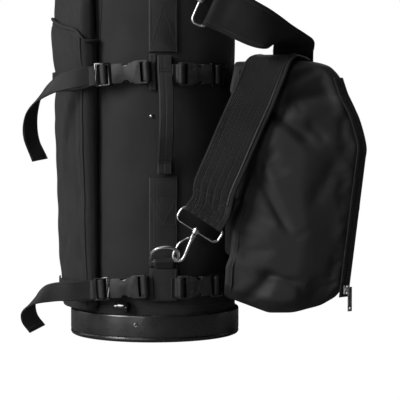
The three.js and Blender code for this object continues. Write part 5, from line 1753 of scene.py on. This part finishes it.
def pouch_outline(z, shrink=0.0):
    """Six runs round the pouch at a height: inner wall, back, side, front, edge and gusset."""
    right = size_at(z, right_stops) - shrink
    front = size_at(z, front_stops) + shrink / 2
    back = size_at(z, back_stops) - shrink / 2
    edge = size_at(z, edge_stops)
    pinch = size_at(z, pinch_stops)
    start = 55 + 20 * pinch
    end = min(122, math.degrees(math.acos(-(back - 6) / INNER_R)))
    inner = [around(a, INNER_R)[:2] for a in np.linspace(start, end, 8)]
    back_start = (math.sqrt(max(INNER_R ** 2 - (back - 2) ** 2, 1)) + 3, back - 2)
    r = CORNER_R
    back_corner = arc(right - r, back - r, r, 90, 0, 12)
    front_corner = arc(right - r, front + r, r, 0, -90, 12)
    fold = (np.array(inner[0]) + (edge, front)) / 2
    fold = fold + (np.array((BODY_R + 30, -52)) - fold) * pinch
    gusset = tuple(fold * 0.25 + np.array((edge, front + 3)) * 0.75)
    runs = [
        inner,
        [inner[-1], back_start] + back_corner[:6],
        back_corner[5:] + front_corner[:6],
        front_corner[5:] + [(edge + 14, front), (edge + 4, front + 0.4)],
        [(edge + 4, front + 0.4), (edge, front + 3), gusset],
        [gusset, tuple(fold), inner[0]],
    ]
    ring, kinds = [], []
    for kind, (run, count) in enumerate(zip(runs, RUN_COUNTS)):
        ring += list(resampled(run, count)[:-1])
        kinds += [kind] * (count - 1)
    return np.array([(x, y, z) for x, y in ring]), kinds


# Each fold is two ends on the front panel, a depth and a width.
folds = [
    (181, 317, 232, 323, -6.0, 8), (150, 300, 190, 306, -5.0, 8), (163, 295, 201, 266, -6.5, 8),
    (206, 281, 222, 266, -4.0, 6), (135, 230, 170, 160, -7.0, 7), (181, 342, 211, 355, -3.5, 6),
    (125, 47, 152, 84, -6.0, 7), (150, 88, 184, 79, -6.0, 6), (158, 60, 186, 66, 5.0, 12),
    (190, 300, 240, 294, 3.0, 12), (150, 222, 186, 160, 3.0, 14), (214, 190, 236, 230, -2.5, 9),
    (118, 116, 160, 124, -2.0, 7), (200, 52, 222, 66, -2.0, 7),
]


def pouch_folds(place, kind):
    """Moves a point of the pouch's skin by its folds."""
    x, y, z = place
    slump = 24 * (1 - min(max((x - 88) / 64, 0), 1)) + 8 * step(x, 180, 222) + 10 * step(x, 215, 250)
    place = place + np.array((0, 0, slump * (1 - step(z, POUCH_FOOT, POUCH_FOOT + 85))))
    low = step(z, POUCH_FOOT, POUCH_FOOT + 16)
    high = 1 - step(z, POUCH_TOP - 14, POUCH_TOP)
    seam = step(abs(x - size_at(z, right_stops) + 6), 2, 24)
    if kind == 3:
        depth = sum(stroke(x, z, *fold) for fold in folds)
        depth += ripples(x, z, 21, 90, 1.2)
        edge = step(x - size_at(z, edge_stops), 2, 26)
        depth += 9 * step(x, size_at(z, edge_stops), 172) - 17 * step(x, 170, size_at(z, right_stops) - 4)
        return place - np.array((0, depth * low * high * (0.35 + 0.65 * seam) * (0.25 + 0.75 * edge), 0))
    if kind == 2:
        flat = step(y - size_at(z, front_stops), 16, 46)
        depth = ripples(y, z, 31, 90, 3.0) - 2 + stroke(y, z, -40, 250, 30, 210, -4, 11)
        depth += stroke(y, z, -30, 120, 40, 90, -4, 12)
        return place + np.array((depth * low * high * flat, 0, 0))
    if kind == 1:
        depth = ripples(x, z, 41, 80, 4.0)
        return place + np.array((0, depth * low * high * step(x, 120, 150), 0))
    return place


# %% Pouch skin
POUCH_ROWS = 72
shrinks = [(POUCH_FOOT, 22), (POUCH_FOOT + 6, 10), (POUCH_FOOT + 23, 0), (POUCH_TOP - 40, 0),
           (POUCH_TOP - 18, 3), (POUCH_TOP - 6, 10), (POUCH_TOP, 24)]
rows, held_rows = [], []
levels = [POUCH_FOOT] * 4 + list(np.linspace(POUCH_FOOT + 2, POUCH_TOP - 2, POUCH_ROWS))
levels += [POUCH_TOP] * 4
for k, z in enumerate(levels):
    ring, kinds = pouch_outline(float(z), size_at(z, shrinks))
    ring = np.array([pouch_folds(point, kind) for point, kind in zip(ring, kinds)])
    from_end = min(k, len(levels) - 1 - k)
    if from_end < 4:
        middle = ring.mean(axis=0)
        ring = middle + (ring - middle) * (0.02, 0.35, 0.68, 0.93)[from_end]
    rows.append(ring)
    held_rows.append([1.0 if kind in (0, 4, 5) or from_end in (3, 4) else 0.0 for kind in kinds])
starts = np.cumsum((0,) + tuple(c - 1 for c in RUN_COUNTS))
for row in held_rows:
    for column in (starts[2], starts[3], starts[3] + 1, starts[3] - 1, starts[4]):
        row[column] = 1.0
pouch = grid("pouch_bag", rows, pouch_nylon, ring=True)
pouch.data.flip_normals()
billow(pouch, np.array(held_rows).ravel(), 0.018, 1.2, 5)


def clear_of_neighbours(place):
    """Keeps the skin off the sleeve and cup, and behind the shoulder strap."""
    x, y, z = place
    r = math.hypot(x, y)
    if r < INNER_R - 0.5:
        x, y = x * (INNER_R - 0.5) / max(r, 1), y * (INNER_R - 0.5) / max(r, 1)
    front = -111.0 + 12 * step(z, 250, POUCH_TOP)
    y = max(y, front)
    return np.array((x, y, min(max(z, POUCH_FOOT - 2), POUCH_TOP + 3)))


moved(pouch, clear_of_neighbours)
with_modifiers(pouch, SUBSURF={"levels": 1, "render_levels": 1})
settle(pouch, "root", "case_fabric", "pouch_shell")


# %% Pouch seams and zip
def corner_point(z, out):
    reach = (CORNER_R + out) * math.sqrt(0.5) - CORNER_R
    return np.array((size_at(z, right_stops) + reach, size_at(z, front_stops) - reach, z))


zip_stops = [corner_point(z, 1.6) for z in (58, 110, 160, 210, 240, 252, 270, 295, 320, 346)]
across_zip = np.array((1, 1, 0)) / math.sqrt(2)
zip_out = np.array((1, -1, 0)) / math.sqrt(2)
zip_path = smooth_path(zip_stops, 150)
tape = sweep("pouch_zip_tape_cloth", zip_stops, [across_zip] * len(zip_stops),
             flat_section(19, 1.1, 14), tape_webbing, 120)
settle(tape, "root", "webbing", "pouch_zip_tape")
here, along = evenly(zip_path, 1.9)
teeth = beads_on("pouch_zip_teeth", here + zip_out * 0.9, along, [across_zip] * len(here),
                 (2.3, 0.8, 0.62), zip_plastic, 8, 5)
settle(teeth, "root", "webbing")
zip_sewing = [zip_path + across_zip * a + zip_out * 0.65 for a in (-8, 8, -5.8, 5.8)]
stitched("pouch_zip_stitches", zip_sewing, "root", pitch=2.8)


PIPING_R = 1.3
PIPING_SPREAD = 0.004
PIPING_ENDS = 6


def pouch_piping(name, column):
    """A roll of cloth along one of the pouch's sewn edges, spread a little from the pouch's middle."""
    seam = []
    for row in rows[PIPING_ENDS:-PIPING_ENDS]:
        seam.append(row[column] + (row[column] - row.mean(axis=0)) * PIPING_SPREAD)
    settle(cord_seam(name, smooth_path(seam, 160), PIPING_R, pouch_nylon), "root", "case_fabric")


pouch_piping("pouch_front_welt", starts[4] - 1)
pouch_piping("pouch_back_welt", starts[2])
